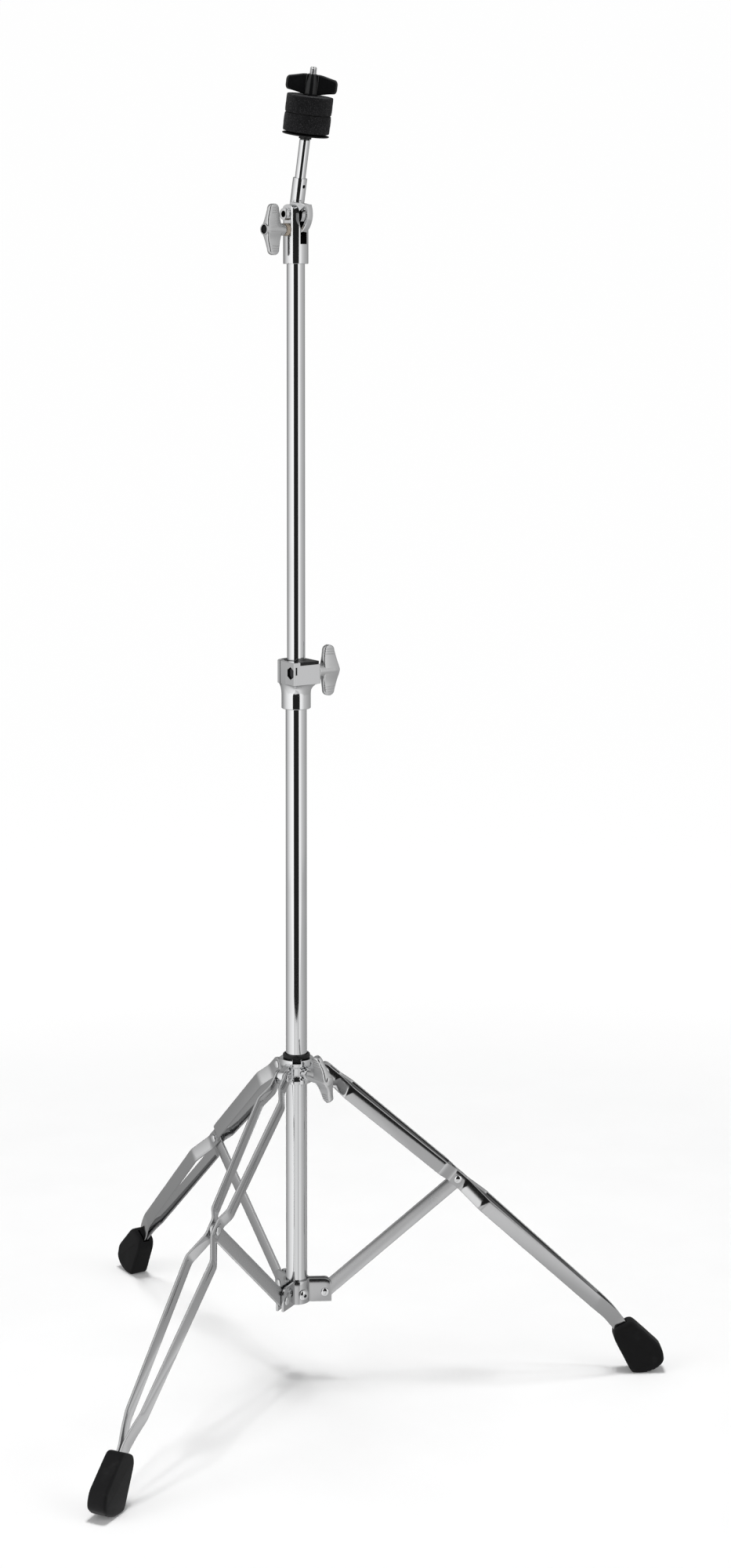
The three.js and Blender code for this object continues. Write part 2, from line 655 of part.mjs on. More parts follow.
// Nylon bushing: a sleeve in the collar with a flange that shows on top of the block
function midBushing() {
  const { bushingRadius, blockHeight, blockHalf, blockFront, backRadius, stepDown } = clamp;
  const { flangeInset, wallShare, boltOffset, boltBelowTop, boltRadius } = clamp;
  const sleeve = disc(bushingRadius, clearance, blockHeight, round);
  const left = clearance - blockHalf * wallShare;
  const right = blockHalf - flangeInset;
  const front = blockFront - flangeInset;
  const back = backRadius - flangeInset;
  const plan = new THREE.Shape();
  plan.moveTo(left, -front);
  plan.lineTo(right - clamp.chamfer, -front);
  plan.lineTo(right, clamp.chamfer - front);
  plan.absarc(0, 0, back, Math.acos(right / back), Math.acos(left / back), false);
  const flangeHeight = stepDown - clearance;
  const flange = slab(plan, flangeHeight, 0, wideArcSteps).translate(0, 0, blockHeight - half(flangeHeight));
  const bore = disc(upperRadius + clearance, -overrun, blockHeight + overrun, round);
  const boltPath = crossBar(boltRadius + clearance, -backRadius, backRadius, coarse)
    .translate(0, -boltOffset, blockHeight - boltBelowTop);
  return cut(joined([sleeve, flange]), [bore, boltPath]);
}

function clampBolt() {
  const { blockHalf, pocketDepth, headHeight, headAcross, boltRadius, wingNeck } = clamp;
  const seated = pocketDepth - blockHalf - clearance;
  const head = hexBar(headAcross, seated - headHeight, seated).rotateZ(hexTurn).rotateY(quarterTurn);
  const end = blockHalf + wingNeck + wing.hubLength - wing.boreDepth;
  const shank = crossBar(boltRadius, seated - clearance, end, coarse);
  return joined([head, shank]);
}

const midWingNut = () => wingFitting(clamp.wingNeck, clamp.boltRadius + clearance, null);

// Upper tube and the plug that guides it inside the base tube

const upperTube = () => tube(
  upperRadius, upperBore, upperTubeBottom, tilterBottom + tilter.socketDepth - clearance, round,
);

function tubePlug() {
  const seated = upperTubeBottom - clearance;
  const stemRadius = upperBore - clearance;
  return turned([
    [0, seated - plug.flange], [baseBore - clearance, seated - plug.flange],
    [baseBore - clearance, seated], [stemRadius, seated],
    [stemRadius, seated + plug.stem - clearance], [stemRadius - clearance, seated + plug.stem],
    [0, seated + plug.stem],
  ], round);
}

// Tilter body: a socket on the upper tube that rises into two cheeks
// The pivot and the wing screw run along X; the slot for the arm opens towards +Y and -Y

function tilterBody() {
  const { sleeveRadius, socketDepth, shoulderHeight, headRadius, slotWidth, slotFloor } = tilter;
  const { pivotHeight: pivotUp, screwBelowPivot, boltRadius, bossReach } = tilter;
  const top = pivotUp + headRadius;
  const barrel = disc(sleeveRadius, 0, top + overrun, round);
  const side = new THREE.Shape();
  side.moveTo(-sleeveRadius - overrun, -overrun);
  side.lineTo(sleeveRadius + overrun, -overrun);
  side.lineTo(sleeveRadius + overrun, shoulderHeight);
  side.lineTo(headRadius, pivotUp - arm.sleeveRadius - 2 * clearance);
  side.lineTo(headRadius, pivotUp - clearance);
  side.absarc(0, pivotUp, headRadius, 0, halfTurn, false);
  side.lineTo(-sleeveRadius - overrun, shoulderHeight);
  const envelope = upright(side, 2 * (sleeveRadius + overrun)).rotateZ(quarterTurn);
  const cheeks = shared(barrel, envelope);
  const slot = block(slotWidth, 4 * sleeveRadius, top - slotFloor + overrun,
    [0, 0, half(slotFloor + top + overrun)]);
  const socket = disc(upperRadius + clearance, -overrun, socketDepth, round);
  const drillOf = (radius, height) => crossBar(
    radius, -bossReach - overrun, bossReach + overrun, coarse,
  ).translate(0, 0, height);
  const reach = sleeveRadius + overrun;
  const flatStart = pivotUp - screwBelowPivot - washer.radius - clearance;
  const groove = block(
    tilter.grooveDepth + overrun, tilter.grooveWidth, tilter.grooveLength,
    [sleeveRadius - tilter.grooveDepth + half(tilter.grooveDepth + overrun), 0, 0],
  ).rotateZ(tilter.grooveTurn).translate(0, 0, flatStart - half(tilter.grooveLength));
  const flats = [1, -1].map((end) => block(
    reach, 4 * reach, top - flatStart + overrun,
    [end * (bossReach + half(reach)), 0, half(top + flatStart + overrun)],
  ));
  return cut(cheeks, [
    slot, socket, groove, ...flats, drillOf(linkage.shank + clearance, pivotUp),
    drillOf(boltRadius + clearance, pivotUp - screwBelowPivot),
  ]);
}

// Tilter arm: a quadrant with a raised rim and a clamp slot, under the sleeve that holds the rod
// Its pivot is at the origin, along X; the rod rises along Z and the quadrant swings towards +Y

function ringSector(inner, outer, from, to) {
  const shape = new THREE.Shape();
  shape.absarc(0, 0, outer, from, to, false);
  shape.absarc(0, 0, inner, to, from, true);
  return shape;
}

// An outline given as (forward, up) becomes a solid in the YZ plane, with its thickness along X
const sideSlab = (shape, thickness, sides = arcSteps) => slab(shape, thickness, 0, sides)
  .rotateX(quarterTurn).rotateZ(quarterTurn);

function tilterArm() {
  const { thickness, web, hubRadius, rimOuter, rimInner, slotHalf, back, front } = arm;
  const { slotBack, slotFront, sleeveRadius, sleeveStart, sleeveLength, holeRadius, holeAbove } = arm;
  const sector = new THREE.Shape();
  sector.moveTo(0, 0);
  sector.absarc(0, 0, rimOuter, back, front, false);
  const plate = sideSlab(sector, web, wideArcSteps);
  const rim = sideSlab(ringSector(rimInner, rimOuter, back, front), thickness, wideArcSteps);
  const hub = crossBar(hubRadius, -half(thickness), half(thickness), fine);
  const neckShape = outline([
    [-hubRadius, 0], [rimOuter * Math.cos(front) - clearance, rimOuter * Math.sin(front)],
    [sleeveRadius, sleeveStart + clearance], [-sleeveRadius, sleeveStart + clearance],
  ]);
  const neck = sideSlab(neckShape, thickness);
  const sleeve = disc(sleeveRadius, sleeveStart, sleeveStart + sleeveLength, fine);
  const whole = joined([plate, rim, hub, neck, sleeve]);
  const middle = tilter.screwBelowPivot;
  const slot = sideSlab(
    ringSector(middle - slotHalf, middle + slotHalf, slotBack, slotFront), 2 * thickness, wideArcSteps,
  );
  const slotEnds = [slotBack, slotFront].map((turn) => crossBar(slotHalf, -thickness, thickness, coarse)
    .translate(0, middle * Math.cos(turn), middle * Math.sin(turn)));
  const sleeveEnd = sleeveStart + sleeveLength;
  const bore = disc(rod.radius + clearance, sleeveEnd - rod.gripped, sleeveEnd + overrun, fine);
  const hole = disc(holeRadius, 0, sleeveRadius + overrun, coarse).rotateX(-quarterTurn)
    .translate(0, 0, sleeveStart + holeAbove);
  const pivot = crossBar(linkage.shank + clearance, -thickness, thickness, coarse);
  return cut(whole, [slot, ...slotEnds, bore, hole, pivot]);
}

// Screws of the tilter, with their heads towards +X

function pivotScrewGeometry() {
  const { headRadius, headHeight, socketRadius, socketDepth } = pivotScrew;
  const seated = tilter.bossReach + clearance;
  const end = -seated - nut.height - clearance;
  const body = turned([
    [0, end], [linkage.shank, end], [linkage.shank, seated], [headRadius, seated],
    [headRadius, seated + headHeight - clearance], [headRadius - clearance, seated + headHeight],
    [0, seated + headHeight],
  ], fine);
  const socket = hexBar(
    2 * socketRadius, seated + headHeight - socketDepth, seated + headHeight + overrun,
  );
  return cut(body, [socket]).rotateY(quarterTurn);
}

function pivotNutGeometry() {
  const seated = -tilter.bossReach - clearance;
  const body = hexBar(nut.across, seated - nut.height, seated);
  const bore = disc(linkage.shank + clearance, seated - nut.height - overrun, seated + overrun, coarse);
  return cut(body, [bore]).rotateY(quarterTurn);
}

const tilterWasher = () => {
  const seated = tilter.bossReach + clearance;
  return tube(washer.radius, tilter.boltRadius + clearance, seated, seated + washer.height, fine)
    .rotateY(quarterTurn);
};

const tilterWingScrew = () => wingFitting(tilter.wingNeck, 0, {
  radius: tilter.boltRadius,
  length: 2 * (tilter.bossReach + clearance) + washer.height,
});

// Cymbal rod, seat, felts and wing nut, along Z from the tilter's pivot

function cymbalRod() {
  const { radius, tipRadius, end, gripped, chamfer } = rod;
  const start = arm.sleeveStart + arm.sleeveLength - gripped + clearance;
  const shoulder = seat.start - clearance;
  return turned([
    [0, start], [radius, start], [radius, shoulder - chamfer], [radius - chamfer, shoulder],
    [tipRadius, shoulder], [tipRadius, end - chamfer], [tipRadius - chamfer, end], [0, end],
  ], fine);
}

function cymbalSeat() {
  const { start, hubRadius, hubHeight, discRadius, discHeight, rimHeight, edge, sleeveRadius } = seat;
  const under = start + hubHeight;
  const top = under + discHeight;
  return turned([
    [seat.bore, start], [hubRadius, start], [hubRadius, under], [discRadius - edge, top - rimHeight],
    [discRadius, top - rimHeight + edge], [discRadius, top - edge], [discRadius - edge, top],
    [sleeveRadius, top], [sleeveRadius, top + seat.sleeveLength], [seat.bore, top + seat.sleeveLength],
  ], round);
}

// A felt disc with soft corners, its faces crowned and its side a little full
function feltGeometry(from) {
  const { radius, height, edge, crown } = felt;
  const bore = seat.sleeveRadius + clearance;
  const middle = half(radius + bore);
  const corner = (up) => Array.from({ length: cornerSteps + 1 }, (_, step) => {
    const turn = (step / cornerSteps) * quarterTurn;
    const across = radius - crown - edge * (1 - (up ? Math.cos(turn) : Math.sin(turn)));
    const along = edge * (1 - (up ? Math.sin(turn) : Math.cos(turn)));
    return [across, up ? from + height - crown - along : from + crown + along];
  });
  return turned([
    [bore, from + crown], [middle, from], ...corner(false), [radius, from + half(height)],
    ...corner(true), [middle, from + height], [bore, from + height - crown],
  ], round);
}

function topWingNut() {
  const { span, height, thickness, hubRadius, edge, boreRadius } = topNut;
  const at = ([out, up]) => new THREE.Vector2(out * half(span), up * height);
  const { root, lobeLow, lowPull, lobeEnd, highPull, lobeHigh, crown } = topNutShares;
  const arc = (from, pull, to) => new THREE.QuadraticBezierCurve(at(from), at(pull), at(to))
    .getPoints(arcSteps);
  const lobe = [...arc(lobeLow, lowPull, lobeEnd), ...arc(lobeEnd, highPull, lobeHigh).slice(1)];
  const right = [at(root), ...lobe, at(crown)].map((point) => [point.x, point.y]);
  const left = right.map(([x, y]) => [-x, y]).reverse();
  const plate = upright(outline([...right, ...left]), thickness, edge);
  const hub = turned([
    [0, 0], ...topHubShares.map(([out, up]) => [out * hubRadius, up * height]), [0, height],
  ], fine);
  const bore = disc(boreRadius, -overrun, height + overrun, fine);
  return cut(joined([plate, hub]), [bore]);
}

// Assembly

const stand = new THREE.Group();

stand.add(piece('base_tube', baseTube(), 'chrome'));

legNames.forEach((name, leg) => {
  const side = turnedGroup(leg * legPitch, stand);
  const plateGroup = turnedGroup(half(legPitch), side);
  const bottom = bracketPinHeight - bracket.pinAboveBottom;
  placed(piece(`bracket_plate_${name}`, bracketPlate(), 'plate'), plateGroup, [0, 0, bottom]);
  placed(piece(`bracket_screw_${name}`, bracketScrew(), 'chrome'), plateGroup, [0, 0, bracketPinHeight]);

  const pinPlace = [linkage.pinRadius, 0, bracketPinHeight];
  const earStack = 2 * (earGap + bracket.thickness);
  const pin = piece(`strut_pin_${name}`, rivetGeometry(earStack, linkage.shank), 'chrome');
  placed(pin, side, pinPlace).rotation.z = quarterTurn;
  const strutGroup = placed(new THREE.Group(), side, pinPlace);
  strutGroup.rotation.y = linkage.spread - quarterTurn;
  strutGroup.add(piece(`strut_${name}`, strutGeometry(), 'plate'));

  const collarPlace = [linkage.pinRadius, 0, collarPinHeight];
  const lugStack = collar.lugWidth + 2 * (clearance + strip.thickness);
  const collarPin = piece(`collar_pin_${name}`, rivetGeometry(lugStack, linkage.shank), 'chrome');
  placed(collarPin, side, collarPlace).rotation.z = quarterTurn;
  const legGroup = placed(new THREE.Group(), side, collarPlace);
  legGroup.rotation.y = quarterTurn - linkage.spread;
  legGroup.add(piece(`leg_${name}_left_strip`, legStrip(1), 'plate'));
  legGroup.add(piece(`leg_${name}_right_strip`, legStrip(-1), 'plate'));
  const rivetStack = strut.thickness + 2 * (clearance + strip.thickness);
  const midRivet = piece(`leg_${name}_rivet`, rivetGeometry(rivetStack, linkage.shank), 'chrome');
  placed(midRivet, legGroup, [linkage.link, 0, 0]).rotation.z = quarterTurn;

  const mouth = [linkage.pinRadius + legReach, 0, foot.drop];
  placed(piece(`leg_${name}_foot`, footGeometry(), 'blackRubber'), side, mouth);
});

const collarGroup = placed(new THREE.Group(), stand, [0, 0, collarPinHeight]);
collarGroup.add(piece('leg_collar', legCollar(), 'chrome'));
collarGroup.add(piece('leg_collar_ring', collarRing(), 'blackNylon'));
const collarBoltGroup = turnedGroup(collar.boltAzimuth, collarGroup);
const collarBolt = piece('leg_collar_wing_bolt', collarWingBolt(), 'satinChrome');
placed(collarBolt, collarBoltGroup, [collar.bossReach + clearance, 0, 0]).rotation.x = collar.wingTurn;

const clampGroup = turnedGroup(clamp.azimuth, stand, [0, 0, clampTop - clamp.blockHeight]);
clampGroup.add(piece('mid_collar', midCollar(), 'satinChrome'));
clampGroup.add(piece('mid_collar_bushing', midBushing(), 'blackNylon'));
const boltPlace = [0, -clamp.boltOffset, clamp.blockHeight - clamp.boltBelowTop];
placed(piece('mid_clamp_bolt', clampBolt(), 'plate'), clampGroup, boltPlace);
placed(piece('mid_wing_nut', midWingNut(), 'satinChrome'), clampGroup, [
  clamp.blockHalf + clearance, boltPlace[1], boltPlace[2],
]);

stand.add(piece('upper_tube', upperTube(), 'chrome'));
stand.add(piece('upper_tube_plug', tubePlug(), 'blackNylon'));

const tilterGroup = turnedGroup(tilter.azimuth - quarterTurn, stand, [0, 0, tilterBottom]);
tilterGroup.add(piece('tilter_body', tilterBody(), 'chrome'));
const pivotPlace = [0, 0, tilter.pivotHeight];
const screwPlace = [0, 0, tilter.pivotHeight - tilter.screwBelowPivot];
placed(piece('tilter_pivot_screw', pivotScrewGeometry(), 'chrome'), tilterGroup, pivotPlace);
placed(piece('tilter_pivot_nut', pivotNutGeometry(), 'chrome'), tilterGroup, pivotPlace);
placed(piece('tilter_washer', tilterWasher(), 'beigeNylon'), tilterGroup, screwPlace);
placed(piece('tilter_wing_screw', tilterWingScrew(), 'satinChrome'), tilterGroup, [
  tilter.bossReach + 2 * clearance + washer.height, 0, screwPlace[2],
]);

const armGroup = placed(new THREE.Group(), tilterGroup, pivotPlace);
armGroup.rotation.x = -tilter.lean;
armGroup.add(piece('tilter_arm', tilterArm(), 'chrome'));
armGroup.add(piece('cymbal_rod', cymbalRod(), 'chrome'));
armGroup.add(piece('cymbal_seat', cymbalSeat(), 'blackNylon'));
const lowerFeltStart = seat.start + seat.hubHeight + seat.discHeight + clearance;
const upperFeltStart = lowerFeltStart + felt.height + clearance;
armGroup.add(piece('lower_felt', feltGeometry(lowerFeltStart), 'greyFelt'));
armGroup.add(piece('upper_felt', feltGeometry(upperFeltStart), 'greyFelt'));
const nutStart = upperFeltStart + felt.height + clearance;
const topNutMesh = piece('top_wing_nut', topWingNut(), 'blackGloss');
placed(topNutMesh, armGroup, [0, 0, nutStart]).rotation.z = -tilter.azimuth + quarterTurn;

// The origin is on the floor, under the middle of the whole stand
const extent = new THREE.Box3().setFromObject(stand, true);
stand.position.x = -half(extent.min.x + extent.max.x);
stand.position.y = -half(extent.min.y + extent.max.y);
stand.position.z = -extent.min.z;

const model = new THREE.Group();
model.add(stand);

export default model;
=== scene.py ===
import json

import bmesh
import bpy
import numpy as np
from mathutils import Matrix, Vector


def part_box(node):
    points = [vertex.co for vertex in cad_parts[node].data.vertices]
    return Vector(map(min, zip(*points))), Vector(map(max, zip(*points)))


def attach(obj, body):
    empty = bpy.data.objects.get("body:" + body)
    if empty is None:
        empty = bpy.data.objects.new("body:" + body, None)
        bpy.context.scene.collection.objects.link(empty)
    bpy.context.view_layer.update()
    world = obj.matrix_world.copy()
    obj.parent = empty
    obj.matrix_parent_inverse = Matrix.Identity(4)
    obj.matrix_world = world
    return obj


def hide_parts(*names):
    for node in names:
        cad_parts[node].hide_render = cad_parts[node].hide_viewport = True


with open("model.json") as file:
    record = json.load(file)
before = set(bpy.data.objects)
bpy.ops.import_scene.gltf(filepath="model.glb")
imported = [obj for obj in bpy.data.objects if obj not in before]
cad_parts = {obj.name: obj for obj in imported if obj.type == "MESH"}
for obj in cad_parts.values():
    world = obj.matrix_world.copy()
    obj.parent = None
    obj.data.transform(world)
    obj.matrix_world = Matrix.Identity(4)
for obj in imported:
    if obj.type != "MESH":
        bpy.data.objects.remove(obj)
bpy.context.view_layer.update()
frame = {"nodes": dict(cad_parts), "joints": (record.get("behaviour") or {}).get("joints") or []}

# Camera. The photograph looks level at the stand from about 2.9 m, past the right of leg A,
# with a long lens whose frame is dropped so that the feet stay in the picture.
camera_pitch, camera_yaw = 88.0, -2.64
focal_pixels, horizon_row, frame_height = 3519, 476, 2000
sensor = 36.0
view = bpy.data.cameras.new("camera")
view.sensor_width = sensor
view.lens = sensor * focal_pixels / frame_height
view.shift_y = (horizon_row - frame_height / 2) / frame_height
camera = bpy.data.objects.new("camera", view)
camera.location = (-0.1529, -2.8683, 1.157)
camera.rotation_euler = np.radians([camera_pitch, 0, camera_yaw])
bpy.context.scene.collection.objects.link(camera)
bpy.context.scene.camera = camera

# Studio. Plain pale floor and backdrop, a large soft lamp on each side and one above;
# the room behind the camera is darker, and chrome shows it as a stripe down each tube.
# For mirror rays the floor glows with a painted reflection of the room's levels by bearing.


class Shade:
    """A socket of a material's nodes; + - * / on it add Math nodes, and node() adds any other."""

    def __init__(self, tree, socket=None):
        self.tree, self.socket = tree, socket

    def node(self, kind, settings=None, inputs=None, output=0):
        made = self.tree.nodes.new("ShaderNode" + kind)
        for key, value in (settings or {}).items():
            if key == "stops":
                stops = made.color_ramp.elements
                while len(stops) < len(value):
                    stops.new(0.5)
                for stop, (place, colour) in zip(stops, value):
                    stop.position, stop.color = place, colour
            else:
                setattr(made, key, value)
        for key, value in (inputs or {}).items():
            if isinstance(value, Shade):
                self.tree.links.new(value.socket, made.inputs[key])
            else:
                made.inputs[key].default_value = value
        return Shade(self.tree, made.outputs[output])

    def math(self, operation, *values):
        return self.node("Math", {"operation": operation}, dict(enumerate(values)))

    def __add__(self, other):
        return self.math("ADD", self, other)

    __radd__ = __add__

    def __mul__(self, other):
        return self.math("MULTIPLY", self, other)

    __rmul__ = __mul__

    def __sub__(self, other):
        return self.math("SUBTRACT", self, other)

    def __rsub__(self, other):
        return self.math("SUBTRACT", other, self)

    def __truediv__(self, other):
        return self.math("DIVIDE", self, other)

    def band(self, low, high):
        """0 below low, 1 above high, a smooth rise between."""
        return self.node("MapRange", {"interpolation_type": "SMOOTHSTEP"},
                         {"Value": self, "From Min": low, "From Max": high})

    def blend(self, one, other):
        """A colour that goes from one to other as this value goes from 0 to 1."""
        return self.node("Mix", {"data_type": "RGBA"}, {0: self, 6: one, 7: other}, output=2)


def noise(root, scale, detail=2.0, stretch=(1, 1, 1)):
    """Noise on Object coordinates: scale is features per metre, stretch squeezes it along X, Y or Z."""
    place = root.node("TexCoord", output=3)
    place = root.node("Mapping", None, {"Vector": place, "Scale": stretch})
    return root.node("TexNoise", None, {"Vector": place, "Scale": scale, "Detail": detail})


def finish_of(name, **constants):
    """A new material, a Shade to build on, and its shader with the constant sockets set."""
    material = bpy.data.materials.new(name)
    material.use_nodes = True
    tree = material.node_tree
    shader = tree.nodes["Principled BSDF"]
    for key, value in constants.items():
        shader.inputs[key.replace("_", " ")].default_value = value
    return material, Shade(tree), shader


def feed(shader, **values):
    """Links worked-out values to sockets of a shader."""
    for key, value in values.items():
        value.tree.links.new(value.socket, shader.inputs[key.replace("_", " ")])


def bearing_ramp(root, east, south, levels):
    """The room's level on the bearing atan2(east, south), 0 towards the camera: a ramp over the
    whole turn, its stops given as (degrees, level) and kept as shares of the brightest."""
    turned_by = root.math("ARCTAN2", east, south) / (2 * np.pi) + 0.5
    stops = [(degrees / 360 + 0.5, (level / brightest,) * 3 + (1,)) for degrees, level in levels]
    return root.node("ValToRGB", {"stops": stops}, {0: turned_by})


brightest, painted_reflection_gain, glow_level, ambient, pole_west = 1.5, 1.47, 1.02, 0.33, 0.0932
paper, paper_root, paper_shader = finish_of("studio_paper", Roughness=0.9)
grain = noise(paper_root, 9.0, 3.0)
paper_colour = grain.band(0.2, 0.8).blend((0.86, 0.86, 0.86, 1), (0.88, 0.88, 0.88, 1))
feed(paper_shader, Base_Color=paper_colour)
spot = paper_root.node("TexCoord", output=3)
away = paper_root.node("VectorMath", {"operation": "LENGTH"}, {0: spot}, 1).band(0.6, 1.7)
mirror_ray = paper_root.node("LightPath", output=3)
seen = paper_root.node("LightPath", output=0) * (0.08 + away * 0.87) + mirror_ray
# Painted reflection: room levels by bearing round the pole, which the floor glows with for mirror rays,
# so that chrome shows painted bright and dark bands where it sees the floor.
floor_painted_reflection = ((-180, 0.36), (-150, 0.38), (-126, 0.46), (-109, 0.6), (-90, 0.82), (-70, 1.0),
               (-40, 1.2), (-28, 1.25), (-25, 0.7), (-12, 0.95), (8, 0.9), (14, 0.72), (26, 0.7),
               (28, 1.05), (43, 0.9), (60, 0.66), (84, 0.54), (109, 0.48), (130, 0.42), (180, 0.36))
east = paper_root.node("SeparateXYZ", None, {0: spot}, 0) + pole_west
south = 0 - paper_root.node("SeparateXYZ", None, {0: spot}, 1)
painted_room_tone = bearing_ramp(paper_root, east, south, floor_painted_reflection)
painted_room_tone = paper_root.node("VectorMath", {"operation": "SCALE"}, {0: painted_room_tone, 3: painted_reflection_gain})
# Painted reflection: the floor's glow is white for other rays and the painted room levels for mirror
# rays.
glow = paper_root.node("Emission", None, {"Color": mirror_ray.blend((1, 1, 1, 1), painted_room_tone),
                                          "Strength": glow_level})
lit = Shade(paper_root.tree, paper_shader.outputs[0])
mixed = paper_root.node("MixShader", None, {0: seen, 1: lit, 2: glow})
paper_root.tree.links.new(mixed.socket, paper_root.tree.nodes["Material Output"].inputs[0])
half_width, floor_front, floor_back, cove, wall_top = 3.0, -1.35, 4.0, 2.0, 9.0
across = np.linspace(-half_width, half_width, 3)
bend = np.linspace(0, np.pi / 2, 48)
run = np.concatenate([[floor_front], floor_back + cove * np.sin(bend), [floor_back + cove]])
rise = np.concatenate([[0.0], cove - cove * np.cos(bend), [wall_top]])
points = np.stack(np.broadcast_arrays(across[:, None], run, rise), -1).reshape(-1, 3)
index = np.arange(len(points)).reshape(len(across), len(run))
quads = np.stack([index[:-1, :-1], index[1:, :-1], index[1:, 1:], index[:-1, 1:]], -1)
floor_mesh = bpy.data.meshes.new("floor")
floor_mesh.from_pydata(points, [], quads.reshape(-1, 4))
floor_mesh.polygons.foreach_set("use_smooth", np.ones(len(floor_mesh.polygons), bool))
floor_mesh.materials.append(paper)
floor = bpy.data.objects.new("floor", floor_mesh)
bpy.context.scene.collection.objects.link(floor)
bpy.context.scene.view_settings.view_transform = "Standard"

aimed_at = np.array([-0.09, 0.0, 0.7])
for name, place, size, watts in (
        ("lamp_left", (-3.4, -1.6, 1.9), (2.0, 3.2), 40),
        ("lamp_right", (3.2, -1.9, 1.8), (1.8, 3.2), 32),
        ("lamp_above", (-0.05, 0.1, 4.2), (0.9, 0.9), 124)):
    lamp = bpy.data.lights.new(name, "AREA")
    lamp.shape, lamp.size, lamp.size_y, lamp.energy = "RECTANGLE", size[0], size[1], watts
    holder = bpy.data.objects.new(name, lamp)
    holder.location = place
    aim = aimed_at - place
    flat = np.hypot(aim[0], aim[1])
    holder.rotation_euler = (np.arctan2(flat, -aim[2]), 0, np.arctan2(-aim[0], aim[1]))
    holder.visible_glossy = False
    bpy.context.scene.collection.objects.link(holder)

room = bpy.data.worlds.new("studio")
room.use_nodes = True
bpy.context.scene.world = room
room_root = Shade(room.node_tree)
way = room_root.node("TexCoord", output=0)
east = room_root.node("SeparateXYZ", None, {0: way}, 0)
south = 0 - room_root.node("SeparateXYZ", None, {0: way}, 1)
walls = ((-180, 0.15), (-155, 0.15), (-140, 0.3), (-126, 0.44), (-109, 0.65), (-95, 0.84),
         (-83, 0.99), (-72, 1.13), (-62, 1.23), (-45, 1.33), (-30, 1.42), (-27, 0.02), (26, 0.02),
         (29, 1.3), (43, 1.22), (53, 1.0), (63, 0.79), (84, 0.63), (109, 0.52), (130, 0.46),
         (148, 0.24), (180, 0.15))
mirrored = bearing_ramp(room_root, east, south, walls)
shiny, straight = room_root.node("LightPath", output=3), room_root.node("LightPath", output=0)
feed(room.node_tree.nodes["Background"], Color=shiny.blend((1, 1, 1, 1), mirrored),
     Strength=ambient + (1 - ambient) * straight + (brightest - ambient) * shiny)

# Base tube. A 22.2 mm seamless steel tube, bright chrome over polished steel, cut square with
# its rims eased; the leg collar slides on it and the foot bracket is screwed to its lower end.


def skin(rings, loop=False):
    """Quads between neighbouring rows of points, each row a closed ring. The end rows are filled,
    or with loop the last row joins the first. Faces turn outward by the sign of the volume,
    which is a . (b x c) summed over the quads, seen from the middle of the points."""
    count = rings.shape[1]
    index = np.arange(rings.shape[0] * count).reshape(-1, count)
    here, there = (index, np.roll(index, -1, 0)) if loop else (index[:-1], index[1:])
    quads = np.stack([here, np.roll(here, -1, 1), np.roll(there, -1, 1), there], -1).reshape(-1, 4)
    points = rings.reshape(-1, 3)
    a, b, c, d = np.moveaxis(points[quads] - points.mean(0), 1, 0)
    volume = np.einsum("ij,ij->", np.cross(a, b), c) + np.einsum("ij,ij->", np.cross(a, c), d)
    faces = quads.tolist() + ([] if loop else [index[0][::-1].tolist(), index[-1].tolist()])
    return points, faces if volume > 0 else [face[::-1] for face in faces]


def turned(profile, sides=72):
    """(r cos t, r sin t, h) for each (r, h) of a profile; off the axis, it closes on itself."""
    radius, height = np.asarray(profile, float).T[:, :, None]
    t = np.linspace(0, 2 * np.pi, sides, endpoint=False)
    rings = np.stack(np.broadcast_arrays(radius * np.cos(t), radius * np.sin(t), height), -1)
    return skin(rings, loop=radius[0, 0] > 0 and radius[-1, 0] > 0)


def eased(corners, reach, steps=4, closed=True):
    """Each corner P becomes (1-t)^2 A + 2t(1-t) P + t^2 B, with A and B reach away from P along
    its two sides, and at most 0.48 of a side."""
    corners = np.asarray(corners, float)
    reach = np.broadcast_to(reach, len(corners))[:, None]
    before, after = np.roll(corners, 1, 0) - corners, np.roll(corners, -1, 0) - corners
    ends = []
    for side in (before, after):
        length = np.maximum(np.linalg.norm(side, axis=1, keepdims=True), 1e-9)
        ends.append(corners + side / length * np.minimum(reach, 0.48 * length))
    t = np.linspace(0, 1, steps + 1)[:, None]
    curve = (1 - t)**2 * ends[0][:, None] + 2 * t * (1 - t) * corners[:, None] + t**2 * ends[1][:, None]
    if closed:
        return curve.reshape(-1, corners.shape[1])
    return np.concatenate([corners[:1], curve[1:-1].reshape(-1, corners.shape[1]), corners[-1:]])


def posed(shell, origin=(0, 0, 0), x=(1, 0, 0), z=(0, 0, 1), scale=1.0):
    """A shell turned so that its X and Z run along x and z, scaled, and moved to origin."""
    x, z = np.asarray(x, float), np.asarray(z, float)
    return np.asarray(origin, float) + shell[0] @ np.stack([x, np.cross(z, x), z]) * scale, shell[1]


def placed(shell, origin, x=(1, 0, 0), z=(0, 0, 1)):
    """A shell in millimetres set in its place in the frame, in metres."""
    return posed(shell, origin, x, z, 0.001)


def crease(mesh, degrees=32):
    """Smooth shading, with creases where two faces meet at more than the angle."""
    mesh.polygons.foreach_set("use_smooth", np.ones(len(mesh.polygons), bool))
    mesh.set_sharp_from_angle(angle=np.radians(degrees))


